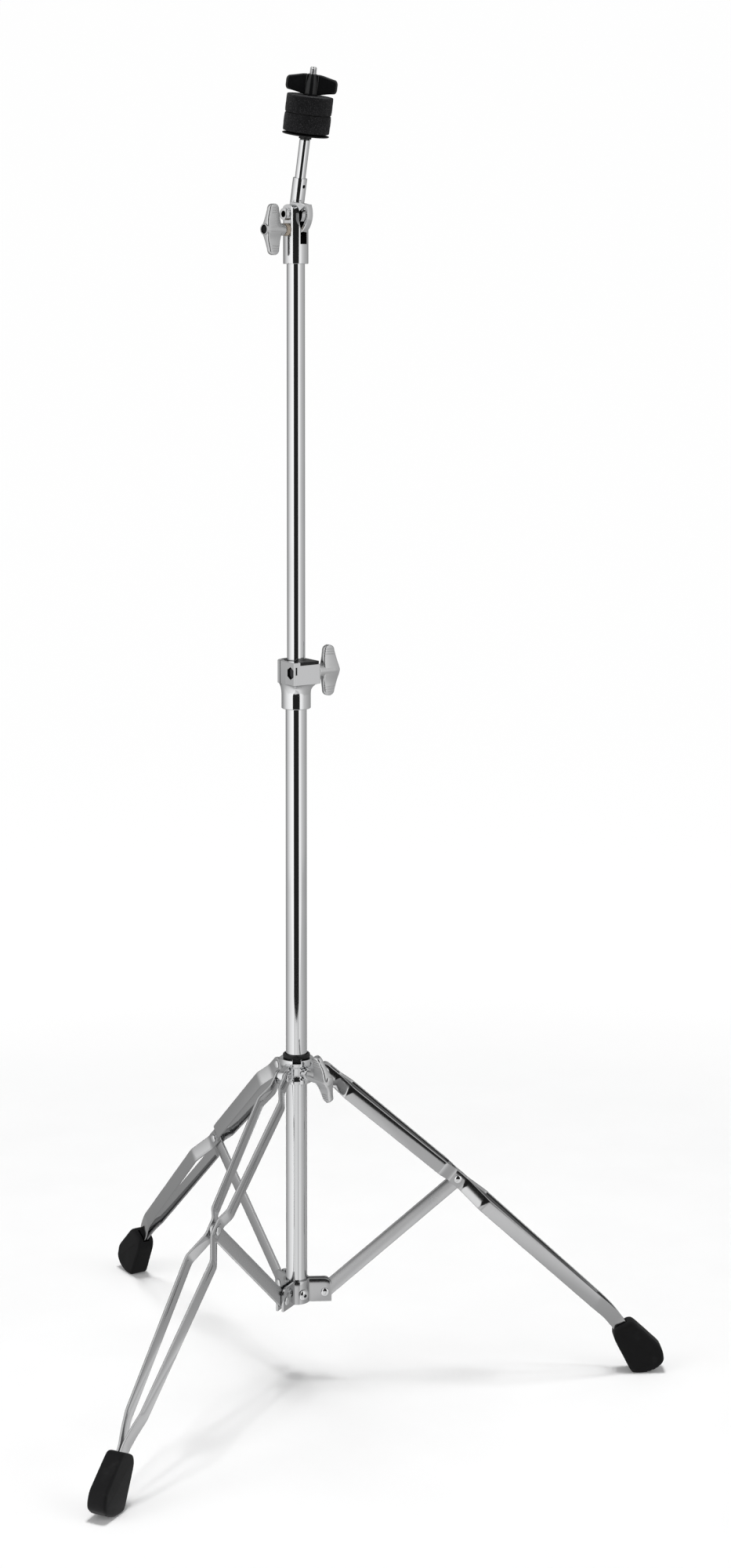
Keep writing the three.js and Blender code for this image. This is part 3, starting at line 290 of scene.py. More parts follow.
def piece(name, shells, material, merge=1e-6):
    """One object from closed shells, doubles merged so that poles and seams close."""
    starts = np.cumsum([0] + [len(points) for points, _ in shells])
    faces = [[corner + start for corner in face]
             for (_, some), start in zip(shells, starts) for face in some]
    mesh = bpy.data.meshes.new(name)
    mesh.from_pydata(np.concatenate([points for points, _ in shells]), [], faces)
    work = bmesh.new()
    work.from_mesh(mesh)
    bmesh.ops.remove_doubles(work, verts=work.verts, dist=merge)
    work.to_mesh(mesh)
    work.free()
    crease(mesh)
    mesh.materials.append(material)
    made = bpy.data.objects.new(name, mesh)
    bpy.context.scene.collection.objects.link(made)
    return made


def chrome_finish(name, colour, roughness, ripple):
    """Polished chrome: faint long ripples of the tube under it, and handling marks."""
    material, root, shader = finish_of(name, Metallic=1.0)
    haze = noise(root, 14.0, 5.0).band(0.45, 0.75)
    wipe = noise(root, 60.0, 3.0, (1, 1, 0.15)).band(0.4, 0.8)
    darker = tuple(channel * 0.93 for channel in colour[:3]) + (1,)
    relief = noise(root, 22.0, 2.0, (1, 1, 0.12))
    bump = root.node("Bump", None, {"Height": relief, "Strength": 0.25, "Distance": ripple})
    feed(shader, Base_Color=(haze * 0.6).blend(colour, darker),
         Roughness=roughness + haze * 0.035 + wipe * 0.02, Normal=bump)
    return material


def middle_of(node):
    """The middle of a node's box, in metres."""
    return sum(map(np.array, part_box(node))) / 2


tube_wall, tube_rim = 1.2, 0.35


def tube_of(node):
    """The radius of a tube's node, and its shell: a wall from end to end, its rims eased."""
    low, high = (np.array(corner) * 1000 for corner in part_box(node))
    outer = (high[0] - low[0]) / 2
    inner = outer - tube_wall
    profile = eased([(inner, low[2]), (outer, low[2]), (outer, high[2]), (inner, high[2])], tube_rim)
    return outer, turned(profile, 96)


chrome = chrome_finish("bright_chrome", (0.68, 0.684, 0.69, 1), 0.045, 0.0002)
pole = middle_of("base_tube") * [1, 1, 0]
base_radius, base_shell = tube_of("base_tube")
base_tube = piece("base_tube_chrome", [placed(base_shell, pole)], chrome)
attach(base_tube, "base")
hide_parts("base_tube")

# Foot bracket. Three strips of 2.5 mm steel, each wrapped round a third of the tube with its two
# ends bent out as ears; the ears pair up on both sides of a strut, and each strip has one screw.


def bar(path, side, rise, half_side, low, high, edge=0.7, count=16):
    """A bar along a path: at each place its section is a rounded rectangle, half_side to each
    side and from low to high along rise, its corners rounded by edge."""
    t = (np.arange(count) + 0.5) * 2 * np.pi / count
    low, high, half_side = (np.broadcast_to(v, len(path))[:, None] for v in (low, high, half_side))
    corner = np.minimum(edge, np.minimum(half_side, (high - low) / 2))
    a = (half_side - corner) * np.sign(np.cos(t)) + corner * np.cos(t)
    b = (low + high) / 2 + ((high - low) / 2 - corner) * np.sign(np.sin(t)) + corner * np.sin(t)
    side, rise = np.broadcast_to(side, path.shape), np.broadcast_to(rise, path.shape)
    return skin(path[:, None] + side[:, None] * a[..., None] + rise[:, None] * b[..., None])


def along(corners, spacing):
    """Points every spacing along a polyline, with the unit direction at each."""
    steps = np.linalg.norm(np.diff(corners, axis=0), axis=1)
    reach = np.concatenate([[0], np.cumsum(steps)])
    places = np.linspace(0, reach[-1], int(reach[-1] / spacing) + 1)
    path = np.stack([np.interp(places, reach, column) for column in corners.T], -1)
    way = np.gradient(path, axis=0)
    return path, way / np.linalg.norm(way, axis=1, keepdims=True), places


def heading(degrees):
    """The level unit vector (cos, sin, 0) at an angle from X."""
    return np.array([np.cos(np.radians(degrees)), np.sin(np.radians(degrees)), 0])


def arc_of(angles, radius=1.0, middle=(0, 0)):
    """Points of a circle: middle + radius (cos, sin) at each angle."""
    return np.asarray(middle) + radius * np.stack([np.cos(angles), np.sin(angles)], -1)


plated = chrome_finish("plated_strip", (0.5, 0.502, 0.506, 1), 0.1, 0.0004)
legs = {"A": 0.0, "B": 120.0, "C": 240.0}
collar_pins = {leg: middle_of("collar_pin_" + leg) for leg in legs}
strut_pins = {leg: middle_of("strut_pin_" + leg) for leg in legs}
plate_thick, plate_tall, ear_gap, ear_reach, ear_round = 2.5, 24.0, 2.1, 36.6, 7.4
wrap_radius = base_radius + 0.3 + plate_thick / 2
off = ear_gap + plate_thick / 2
wrap_end = np.radians(60) - np.arcsin(off / wrap_radius)
ear = np.array([[ear_reach, -off], [np.sqrt(wrap_radius**2 - off**2), -off]])
spin = np.array([[0.5, np.sqrt(0.75)], [-np.sqrt(0.75), 0.5]])
arc = arc_of(np.linspace(wrap_end, -wrap_end, 25)[1:-1], wrap_radius)
start = ear @ spin
corners = np.concatenate([start, arc, (start * [1, -1])[::-1]])
reaches = np.full(len(corners), 0.4)
reaches[[1, -2]] = 3.0
path, way, places = along(eased(corners, reaches, 6, closed=False), 0.45)
path = np.column_stack([path, np.zeros(len(path))])
side = np.column_stack([-way[:, 1], way[:, 0], np.zeros(len(path))])
to_end = np.minimum(places, places[-1] - places)
top = plate_tall - ear_round + np.sqrt(ear_round**2 - np.clip(ear_round - to_end, 0, None)**2)
bracket_shell = bar(path, side, (0.0, 0.0, 1.0), plate_thick / 2, 0.0, top, 0.45)
for leg, azimuth in legs.items():
    node = "bracket_plate_" + leg
    foot_of = pole + [0, 0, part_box(node)[0].z]
    bracket = piece(node + "_bent", [placed(bracket_shell, foot_of, heading(azimuth + 60))], plated)
    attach(bracket, "base")
    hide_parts(node)

# Bracket screws. Chromed button-head steel screws with a six-sided socket, one through the middle
# of each strip into the wall of the base tube.


screw_shank = 2.9


def socket_head(crown, seat, inside, socket, deep):
    """A screw turned round Z from the (radius, height) places of its head above the seat, with a
    shank below; its socket is a hexagon, whose radius at angle t is the flat's distance over
    cos(t - the middle of the flat)."""
    crown = np.asarray(crown, float) + [0, seat]
    lip = crown[-1, 1]
    profile = np.array([(0, inside), (screw_shank, inside), (screw_shank, seat), *crown,
                        (socket * 1.2, lip), (socket, lip - 0.35), (socket, lip - deep), (0, lip - deep)])
    t = np.linspace(0, 2 * np.pi, 72, endpoint=False)
    six = 1 / np.cos((t + np.pi / 6) % (np.pi / 3) - np.pi / 6)
    in_socket = np.isin(np.arange(len(profile)), [len(profile) - 3, len(profile) - 2])[:, None]
    radius = profile[:, :1] * np.where(in_socket, six, 1)
    return skin(np.stack(np.broadcast_arrays(radius * np.cos(t), radius * np.sin(t), profile[:, 1:]), -1))


screw_seat = base_radius + plate_thick + 0.6
t = np.linspace(0, 0.4 * np.pi, 9)
button = np.concatenate([[(5.4, 0)], np.column_stack([5.7 * np.cos(t), 0.2 + 3.3 * np.sin(t)])])
screw_shell = socket_head(button, screw_seat, base_radius - tube_wall - 2.4, 2.1, 2.0)
for leg, azimuth in legs.items():
    node = "bracket_screw_" + leg
    centre = pole + [0, 0, strut_pins[leg][2]]
    screw = piece(node + "_head", [placed(screw_shell, centre, (0, 0, 1), heading(azimuth + 60))], chrome)
    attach(screw, "base")
    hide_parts(node)

# Struts. Flat bars of 15 by 3 mm steel with round ends, one between each pair of ears, each
# riveted at its outer end between the two strips of its leg.
rolled = chrome_finish("plated_bar", (0.52, 0.522, 0.526, 1), 0.24, 0.0004)
strut_wide, strut_thick = 15.0, 3.0
link, pin_radius, spread = 182.9, 29.75, np.radians(50.1)


def round_ended(length, wide):
    """Places along a bar and its half width there: the root of r^2 minus the run past a pivot squared."""
    end = wide / 2
    t = np.linspace(0, np.pi / 2, 14)
    straight = np.linspace(0, length, 40)[1:-1]
    places = np.concatenate([-end * np.cos(t), straight, length + end * np.sin(t)])
    past = np.clip(np.maximum(-places, places - length), 0, end)
    return places, np.sqrt(end**2 - past**2)


places, half = round_ended(link, strut_wide)
path = np.column_stack([places, np.zeros((len(places), 2))])
strut_shell = bar(path, (0, 1, 0), (0, 0, 1), strut_thick / 2, -half, half, 0.7)
for leg, azimuth in legs.items():
    out = heading(azimuth)
    rise_way = out * np.sin(spread) + [0, 0, np.cos(spread)]
    square = np.cross(rise_way, np.cross([0, 0, 1], out))
    shell = placed(strut_shell, strut_pins[leg], rise_way, square)
    strut = piece("strut_" + leg + "_bar", [shell], rolled)
    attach(strut, "strut_" + leg.lower())
    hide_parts("strut_" + leg)

# Rivets. Solid pins with low domed heads, headed over on both sides of the stack they hold:
# nine in all, at the bracket, at the middle of each leg and at the leg collar.


def rivet(stack, shank=2.9, head=4.4, tall=1.7):
    """A pin along Z with an elliptic dome at each end: r = head cos t, h = tall sin t."""
    t = np.linspace(0, np.pi / 2, 9)
    r, h = head * np.cos(t), stack / 2 + 0.3 + tall * np.sin(t)
    upper = np.column_stack([r, h])
    inner = [(shank, -stack / 2 - 0.3), (shank, stack / 2 + 0.3)]
    return turned(np.concatenate([(upper * [1, -1])[::-1], inner, upper]), 40)


strip_thick, lug_wide = 2.5, 7.4
for leg, azimuth in legs.items():
    for node, stack, body in (
            ("strut_pin_" + leg, 2 * off + plate_thick, "base"),
            ("collar_pin_" + leg, lug_wide + 2 * strip_thick + 0.6, "collar"),
            (f"leg_{leg}_rivet", strut_thick + 2 * strip_thick + 0.6, "leg_" + leg.lower())):
        pin = placed(rivet(stack), middle_of(node), (0, 0, 1), heading(azimuth + 90))
        head = piece(node + "_domed", [pin], chrome)
        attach(head, body)
        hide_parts(node)

# Leg strips. Each leg is a pair of 15 by 2.5 mm steel strips, cranked apart below the collar,
# drawn together on the strut at the middle rivet, spread again, and kinked in towards the foot.
strip_wide = 15.0
outer_run, foot_run, droop, kink = 215.0, 35.0, np.radians(2.1), np.radians(10)
rivet_face = strut_thick / 2 + 0.3 + strip_thick
stations = np.array([-15, 16, 32.5, link - 20, link - 9, link + 9, link + 35, link + 198, link + 229,
                     500])
outer_face = np.array([6.5, 6.5, 14, 10, rivet_face, rivet_face, 15.5, 9.4, 3, 3])
fall = np.cumsum([0, droop, kink])
knees = np.cumsum([[0, 0]] + [[run * np.cos(a), -run * np.sin(a)] for run, a in
                              zip((link, outer_run, foot_run), fall)], axis=0)
knees[0, 0] = -strip_wide / 2
centre_line, way, places = along(eased(knees, (0, 2, 9, 0), 10, closed=False), 0.9)
places = places - strip_wide / 2
window = np.linspace(-2.6, 2.6, 15)
spread_at = np.interp(places[:, None] + window, stations, outer_face).mean(1) - strip_thick / 2
half = np.sqrt((strip_wide / 2)**2 - np.clip(-places, 0, strip_wide / 2)**2)
for leg, azimuth in legs.items():
    out = heading(azimuth)
    down = out * np.sin(spread) - [0, 0, np.cos(spread)]
    square = np.cross(down, np.cross([0, 0, 1], out))
    for hand, sign in (("left", 1), ("right", -1)):
        node = f"leg_{leg}_{hand}_strip"
        path = np.column_stack([centre_line[:, 0], sign * spread_at, centre_line[:, 1]])
        tangent = np.gradient(path, axis=0)
        tangent /= np.linalg.norm(tangent, axis=1, keepdims=True)
        rise = np.column_stack([-way[:, 1], np.zeros(len(way)), way[:, 0]])
        side = np.cross(rise, tangent)
        shell = bar(path, side, rise, strip_thick / 2, -half, half, 0.75)
        strip = piece(node + "_bent", [placed(shell, collar_pins[leg], down, square)], plated)
        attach(strip, "leg_" + leg.lower())
        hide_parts(node)

# Feet. Black moulded rubber boots pushed over the ends of the strips: a flat sole, a rounded toe
# with tread grooves across it, a bevelled back, and a mouth that the strips go into.


def plate(outline, thick, edge=0.8, steps=4, grow=None):
    """An outline drawn out along Z with round rims: at angle a its points lie edge (1 - cos a)
    inside the outline and edge (1 - sin a) below the face. grow(points) may reshape the rings."""
    outline = np.asarray(outline, float)
    area = np.sum(outline[:, 0] * np.roll(outline[:, 1], -1) - outline[:, 1] * np.roll(outline[:, 0], -1))
    tangent = np.roll(outline, -1, 0) - np.roll(outline, 1, 0)
    inward = np.stack([-tangent[:, 1], tangent[:, 0]], -1) * np.sign(area)
    inward /= np.maximum(np.linalg.norm(inward, axis=1, keepdims=True), 1e-9)
    a = np.linspace(np.pi / 2, 0, steps + 1)
    inset, depth = edge * (1 - np.cos(a)), thick / 2 - edge * (1 - np.sin(a))
    inset, depth = np.concatenate([inset, inset[::-1]]), np.concatenate([depth, -depth[::-1]])
    flat = outline + inward * inset[:, None, None]
    rings = np.concatenate([flat, np.broadcast_to(depth[:, None, None], flat.shape[:2] + (1,))], -1)
    return skin(rings if grow is None else grow(rings))


merge_reach, shortest_edge = 0.012, 0.006


def carved(name, start, material, origin, x=(1, 0, 0), z=(0, 0, 1), keep=(), join=(), cut=(), rim=0.0):
    """A shell in millimetres that is kept only inside the shells of keep, joined with those of
    join and cut by those of cut; set in its place, its creased edges rounded by rim."""
    made = piece(name, [start], material, 1e-3)
    tools = []
    for operation, shells in (("INTERSECT", keep), ("UNION", join), ("DIFFERENCE", cut)):
        for shell in shells:
            tools.append(piece("tool", [shell], material, 1e-3))
            change = made.modifiers.new("step", "BOOLEAN")
            change.operation, change.solver, change.object = operation, "EXACT", tools[-1]
    bpy.context.view_layer.update()
    done = bpy.data.meshes.new_from_object(made.evaluated_get(bpy.context.evaluated_depsgraph_get()))
    work = bmesh.new()
    work.from_mesh(done)
    bmesh.ops.remove_doubles(work, verts=work.verts, dist=merge_reach)
    bmesh.ops.dissolve_degenerate(work, edges=work.edges, dist=shortest_edge)
    work.to_mesh(done)
    work.free()
    points = np.empty(len(done.vertices) * 3)
    done.vertices.foreach_get("co", points)
    done.vertices.foreach_set("co", placed((points.reshape(-1, 3), None), origin, x, z)[0].ravel())
    done.update()
    made.modifiers.clear()
    made.data = done
    for tool in tools:
        bpy.data.objects.remove(tool)
    crease(done)
    if rim:
        soften = made.modifiers.new("rim", "BEVEL")
        soften.offset_type, soften.width, soften.segments = "WIDTH", rim / 1000, 2
        soften.limit_method, soften.angle_limit = "ANGLE", np.radians(80)
        soften.harden_normals, soften.use_clamp_overlap = True, False
    return made


def brick(x, y, z, middle=(0, 0, 0)):
    """A plain block, for cuts."""
    rectangle = np.array([(-x, -y), (x, -y), (x, y), (-x, y)]) / 2
    rings = np.stack([np.column_stack([rectangle, np.full(4, h)]) for h in (-z / 2, z / 2)])
    return skin(rings + np.asarray(middle, float))


rubber, root, shader = finish_of("moulded_rubber", Specular_IOR_Level=0.16)
pores = noise(root, 900.0, 3.0)
scuff = noise(root, 70.0, 4.0).band(0.55, 0.8)
bloom = scuff.blend((0.006, 0.006, 0.0064, 1), (0.016, 0.016, 0.0165, 1))
feed(shader, Base_Color=bloom, Roughness=0.5 + pores * 0.16 + scuff * 0.12,
     Normal=root.node("Bump", None, {"Height": pores, "Strength": 0.35, "Distance": 0.0003}))
foot_reach, foot_drop, foot_top, foot_sole, mouth_back = 44.0, 45.0, 19.4, 22.0, 11.0
foot_shares = np.array([[-0.19, 0.04], [-0.225, -0.06], [-0.215, -0.2], [0.2, -0.975], [0.28, -1],
                        [0.54, -1], [0.79, -0.92], [0.955, -0.79], [1, -0.66], [0.93, -0.4],
                        [0.27, 0.19], [0.17, 0.215]])
foot_line = eased(foot_shares * [foot_reach, foot_drop], 5.0, 5)
foot_line[:, 1] = np.maximum(foot_line[:, 1], -foot_drop)


def foot_taper(rings):
    """Width shrinks in a straight line from the sole up to the mouth."""
    share = np.clip(-rings[..., 1:2] / foot_drop, -0.22, 1)
    taper = (foot_top + (foot_sole - foot_top) * share) / foot_sole
    return np.concatenate([rings[..., :2], rings[..., 2:] * taper], -1)


mouth_turn = spread - droop - kink
pocket_x = np.array([np.cos(mouth_turn), np.sin(mouth_turn), 0])
pocket = posed(brick(17.0, 7.6, 60.0, (0, 0, 18.7)), x=pocket_x, z=(-pocket_x[1], pocket_x[0], 0))
groove_shares = ((0.6, -0.981), (0.7, -0.949), (0.8, -0.912), (0.89, -0.85))
foot_shell = plate(foot_line, foot_sole, 3.0, 6, foot_taper)
foot_cuts = [pocket] + [brick(1.5, 2.6, foot_sole + 3, (x * foot_reach, y * foot_drop, 0))
                        for x, y in groove_shares]
mouth_reach = (pin_radius + link * np.sin(spread) + outer_run * np.sin(spread - droop)
               + (foot_run - mouth_back) * np.sin(mouth_turn))
for leg, azimuth in legs.items():
    node = f"leg_{leg}_foot"
    out = heading(azimuth)
    mouth = pole + out * (mouth_reach / 1000) + [0, 0, foot_drop / 1000]
    foot = carved(node + "_rubber", foot_shell, rubber, mouth, out, np.cross(out, [0, 0, 1]),
                  cut=foot_cuts)
    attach(foot, "leg_" + leg.lower())
    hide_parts(node)

# Leg collar. A chromed zinc casting that slides on the base tube: two rims, a waist, three lugs
# that the legs are riveted to, and a boss for the wing bolt that locks it.
cast_chrome = chrome_finish("chromed_casting", (0.66, 0.664, 0.67, 1), 0.08, 0.0005)
bore, above, below = base_radius + 0.35, 14.0, 11.4
rim_low, waist, rim_high = 16.4, 14.9, 17.6
collar_foot = pole + [0, 0, collar_pins["A"][2]]
profile = eased([(bore, -below), (rim_low, -below), (rim_low, 4.6 - below), (waist, 6.8 - below),
                 (waist, above - 8.6), (rim_high, above - 6.4), (rim_high, above), (bore, above)], 0.9)
barrel = turned(profile, 96)
lug = np.concatenate([arc_of(np.linspace(-np.pi / 2, np.pi / 2, 24), 7.2, (pin_radius, 0)),
                      [(bore + 0.8, above - 2.2), (bore + 0.8, 2.2 - below)]])
lugs = [posed(plate(lug, lug_wide, 0.9), x=heading(azimuth), z=np.cross(heading(azimuth), [0, 0, 1]))
        for azimuth in legs.values()]
joints = {joint["name"]: joint for joint in frame["joints"]}
bolt_way = np.array(joints["collar_wing_turn"]["axis"])
boss = turned(eased([(0, bore + 0.8), (6.4, bore + 0.8), (6.4, 22.5), (0, 22.5)], (0, 0, 0.8, 0)), 48)
key_wide, key_deep = 8.6, 2.6
slot = brick(10.0, key_wide + 0.6, key_deep + 3.6, (16.4, 0, above - key_deep / 2 + 1.2))
collar = carved("leg_collar_cast", barrel, cast_chrome, collar_foot,
                join=[*lugs, posed(boss, x=(0, 0, 1), z=bolt_way)], cut=[posed(slot, x=(0, -1, 0))])
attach(collar, "collar")
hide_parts("leg_collar")

# Collar ring. A ring of moulded black nylon on top of the casting, round the tube, with a key that
# is pressed into a notch of the casting's rim at the front.


def nylon_finish(name, colour, roughness, relief):
    """Moulded plastic: a fine spark-eroded grain and a slightly paler rubbed bloom."""
    material, root, shader = finish_of(name, Specular_IOR_Level=0.3)
    grain = noise(root, 1400.0, 2.0)
    rubbed = noise(root, 90.0, 4.0).band(0.5, 0.8)
    paler = tuple(channel * 1.3 + 0.003 for channel in colour[:3]) + (1,)
    feed(shader, Base_Color=(rubbed * 0.5).blend(colour, paler),
         Roughness=roughness + grain * 0.1 + rubbed * 0.06,
         Normal=root.node("Bump", None, {"Height": grain, "Strength": 0.3, "Distance": relief}))
    return material


black_nylon = nylon_finish("black_nylon", (0.006, 0.006, 0.0064, 1), 0.36, 0.00012)
start, top = above + 0.3, above + 4.5
profile = eased([(bore, start), (14.0, start), (14.3, start + 1.6), (14.2, top - 0.3), (bore + 0.4, top)],
                (0.3, 1.2, 0.9, 1.8, 0.6), 6)
key = brick(2.4, key_wide, key_deep + 0.6, (bore + 1.5, 0, start - key_deep / 2 + 0.3))
ring = piece("collar_ring_nylon", [placed(turned(profile, 96), collar_foot),
                                   placed(key, collar_foot, (0, -1, 0))], black_nylon)
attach(ring, "collar")
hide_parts("leg_collar_ring")

# Wing bolt of the leg collar. A die-cast wing, satin chromed, on an M6 screw: a round hub with
# a domed end, and two flat wings with slightly hollow edges, blunt tips and three grip bars.
satin = chrome_finish("satin_casting", (0.6, 0.603, 0.606, 1), 0.27, 0.0004)
# Painted shade: a near-black chrome that stands in for the shade deep in holes, slots and saw cuts.
painted_hole_shade = chrome_finish("painted_bore_shade", (0.02, 0.02, 0.021, 1), 0.55, 0.0002)


def paint_hole_shade(made, origin, x, z, deep):
    """Paints the shade of a deep hole: the faces whose middles, in millimetres from origin along
    x, z x x and z, are picked by deep() get the near-black painted shade material."""
    made.data.materials.append(painted_hole_shade)
    middles = np.empty(len(made.data.polygons) * 3)
    made.data.polygons.foreach_get("center", middles)
    across = np.stack([x, np.cross(z, x), z], -1)
    picked = deep(*((middles.reshape(-1, 3) - origin) * 1000 @ across).T)
    made.data.polygons.foreach_set("material_index", picked.astype(np.int32))


wing_span, wing_long, wing_thick, hub_wide, hub_near, hub_far = 53.0, 22.8, 6.4, 6.6, 1.6, 21.9
tip_round, tip_half, tip_middle, tip_power, edge_power = 6.0, 6.8, 10.2, 2.2, 1.4
grip_places, bore_wide, bore_deep = (17.2, 19.8, 22.4), 4.5, 13


def wing_shells(neck, shank_radius, shank_end, bored, seat):
    """Wing, hub, grip bars and shank of a wing fitting; its axis is Z, its span X. The wing's edges
    draw in by run^1.4 to a blunt tip: half height = h (1 - (past / r)^2.2)^(1 / 2.2) beyond its
    middle. Its thickness is t + (hub - t) exp(-(x / 8)^2), so that it swells into the hub."""
    end = neck + wing_long + 0.3
    hub = [(0, seat), (hub_wide - 0.6, seat), (hub_wide - 0.2, seat + 1.0), (hub_wide - 0.2, end - 5.0)]
    if bored:
        hub += [(5.7, end), (4.9, end), (bore_wide, end - 0.7), (bore_wide, end - bore_deep),
                (0, end - bore_deep - 1)]
    else:
        hub += [(4.6, end - 0.6), (0, end)]
    hub = eased(hub, ([0, 0.4, 0.5, 2.2, 0.5, 0.3, 0.3, 0.6, 0] if bored else [0, 0.4, 0.5, 3.5, 2.0, 0]))
    x = wing_span / 2 * np.sin(np.linspace(-np.pi / 2, np.pi / 2, 81))
    far = wing_span / 2 - tip_round
    run = np.abs(x) / far
    past = np.clip((np.abs(x) - far) / tip_round, 0, 1)
    tip = tip_half * np.clip(1 - past**tip_power, 0.0005, 1)**(1 / tip_power)
    drawn = run**edge_power
    low = np.where(run < 1, hub_near + (tip_middle - tip_half - hub_near) * drawn, tip_middle - tip)
    high = np.where(run < 1, hub_far - (hub_far - tip_middle - tip_half) * drawn, tip_middle + tip)
    thick = wing_thick + (2 * hub_wide - 1.0 - wing_thick) * np.exp(-(x / 8)**2)
    path = np.column_stack([x, np.zeros((len(x), 2))])
    blade = bar(path, (0, 1, 0), (0, 0, 1), thick / 2, neck + low, neck + high, 2.4, 28)
    parts = [turned(hub, 64), blade]
    for out in grip_places:
        reach = np.linspace(-1, 1, 13)
        half = 1.0 + (high - low)[np.searchsorted(x, out)] * 0.3
        path = np.stack([out - 0.25 * reach, np.zeros(13), neck + tip_middle + reach * half], -1)
        ends = 0.6 * np.sqrt(np.clip(1 - reach**4, 0.02, 1))
        for sign in (1, -1):
            parts.append(bar(path * [sign, 1, 1], (1, 0, 0), (0, 1, 0), 0.5,
                             -(wing_thick / 2 + ends), wing_thick / 2 + ends, 0.45, 12))
    if shank_end:
        parts.append(turned([(0, -shank_end), (shank_radius - 0.4, -shank_end),
                             (shank_radius, 0.4 - shank_end), (shank_radius, seat + 1),
                             (0, seat + 1)], 32))
    return parts


def placed_wing(name, joint, turn, neck, shank_radius, shank_end, bored=False, seat=0.0):
    """A wing fitting on its joint's place and axis, its span turned from upright about the axis;
    the faces inside its bore get a painted shade of a deep hole."""
    way = np.array(joints[joint]["axis"])
    span = np.array([0, 0, np.cos(turn)]) + np.cross(way, [0, 0, 1]) * np.sin(turn)
    origin = np.array(joints[joint]["pos_m"])
    shells = wing_shells(neck, shank_radius, shank_end, bored, seat)
    made = piece(name, [placed(part, origin, span, way) for part in shells], satin)
    if bored:
        # Painted shade inside the hub's bore.
        paint_hole_shade(made, origin, span, way, lambda x, y, z: (z > 4) & (np.hypot(x, y) < bore_wide + 0.05))
    return made


collar_wing = placed_wing("collar_wing_cast", "collar_wing_turn", np.radians(19), 10.0, 3.0, 11.4)
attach(collar_wing, "collar_wing")
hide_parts("leg_collar_wing_bolt")

# Mid collar. A satin chromed casting pressed on the base tube: a round sleeve whose front swells
# through a hollow fillet into a square block that the clamp bolt crosses; its top has a step.


def level(ring, height):
    """The points of a flat ring at one height."""
    return np.column_stack([ring, np.full(len(ring), height)])


def round_bar(radius, low, high, sides=40):
    """A plain round bar along Z, for drills, or a hexagon with six sides."""
    return turned([(0, low), (radius, low), (radius, high), (0, high)], sides)


clamp_x = heading(32)
block_foot = pole + [0, 0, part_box("mid_collar")[1].z - 0.0235]
block_half, block_front, back_radius, block_tall, chamfer = 16.4, 21.9, 19.4, 23.5, 1.2
sleeve_radius, sleeve_long, fillet_run, bolt_off, bolt_down = 15.35, 27.0, 13.0, 14.2, 11.4
step_deep, pocket_deep, pocket_half, drill_radius, slit_back = 3.2, 6.4, 5.8, 3.3, 5.6
bushing_radius = 12.5
meet = np.arccos(block_half / back_radius)
back = np.linspace(meet, np.pi - meet, 40)
corners = [(-block_half, back_radius * np.sin(meet)), (-block_half, -block_front),
           (block_half, -block_front), (block_half, back_radius * np.sin(meet))]
left = np.linspace(corners[0], corners[1], 30)[1:-2]
front = np.linspace(corners[1], corners[2], 30)[2:-2]
right = np.linspace(corners[2], corners[3], 30)[2:-1]
rounded = eased(corners, (0, chamfer, chamfer, 0), 5)
plan = np.concatenate([arc_of(back, back_radius), left, rounded[6:12], front, rounded[12:18], right])
circle = arc_of(np.arctan2(plan[:, 1], plan[:, 0]), sleeve_radius)
down = np.linspace(0, 1, 15)[:, None, None]
swell = circle + (plan - circle) * (1 - np.sqrt(1 - (1 - down)**2))
levels = [level(plan * 0.985, block_tall), level(plan, block_tall - 0.35)]
levels += [level(ring, -fillet_run * place) for ring, place in zip(swell, down[:, 0, 0])]
levels += [level(circle, 0.6 - sleeve_long), level(circle * 0.96, -sleeve_long)]
hex_flat = np.cos(np.pi / 6)
bolt_height = block_tall - bolt_down
bored = [round_bar(base_radius + 0.3, -40, 0, 96), round_bar(bushing_radius, -1, 40, 96)]
step = brick(36, 90, 2 * step_deep, (18 - block_half * 0.55, 0, block_tall))
drill = posed(round_bar(drill_radius, -40, 40), (0, -bolt_off, bolt_height), (0, 0, 1), (1, 0, 0))
hex_pocket = posed(round_bar(pocket_half / hex_flat, -9, 0, 6),
                   (pocket_deep - block_half, -bolt_off, bolt_height), (0, 0, 1), (1, 0, 0))
notch = brick(1.8, 3.2, 8.0, (2.6 - block_half, -block_front, bolt_height + 2.6))
slit = brick(6, 1.0, 36, (-block_half, slit_back, 17.0))
cuts = [*bored, step, drill, hex_pocket, notch, slit]
mid_collar = carved("mid_collar_cast", skin(np.stack(levels)), cast_chrome, block_foot, clamp_x,
                    cut=cuts, rim=0.3)
# Painted shade on the walls of the hexagon pocket and the bolt's drill, and in the slit.
paint_hole_shade(mid_collar, block_foot, clamp_x, (0, 0, 1),
         lambda x, y, z:
         (x > 0.1 - block_half) & (x < 0) & (np.hypot(y + bolt_off, z - bolt_height) < 6.9)
         | (x > 0.2 - block_half) & (x < 3.1 - block_half) & (np.abs(y - slit_back) < 0.55))
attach(mid_collar, "base")
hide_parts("mid_collar")

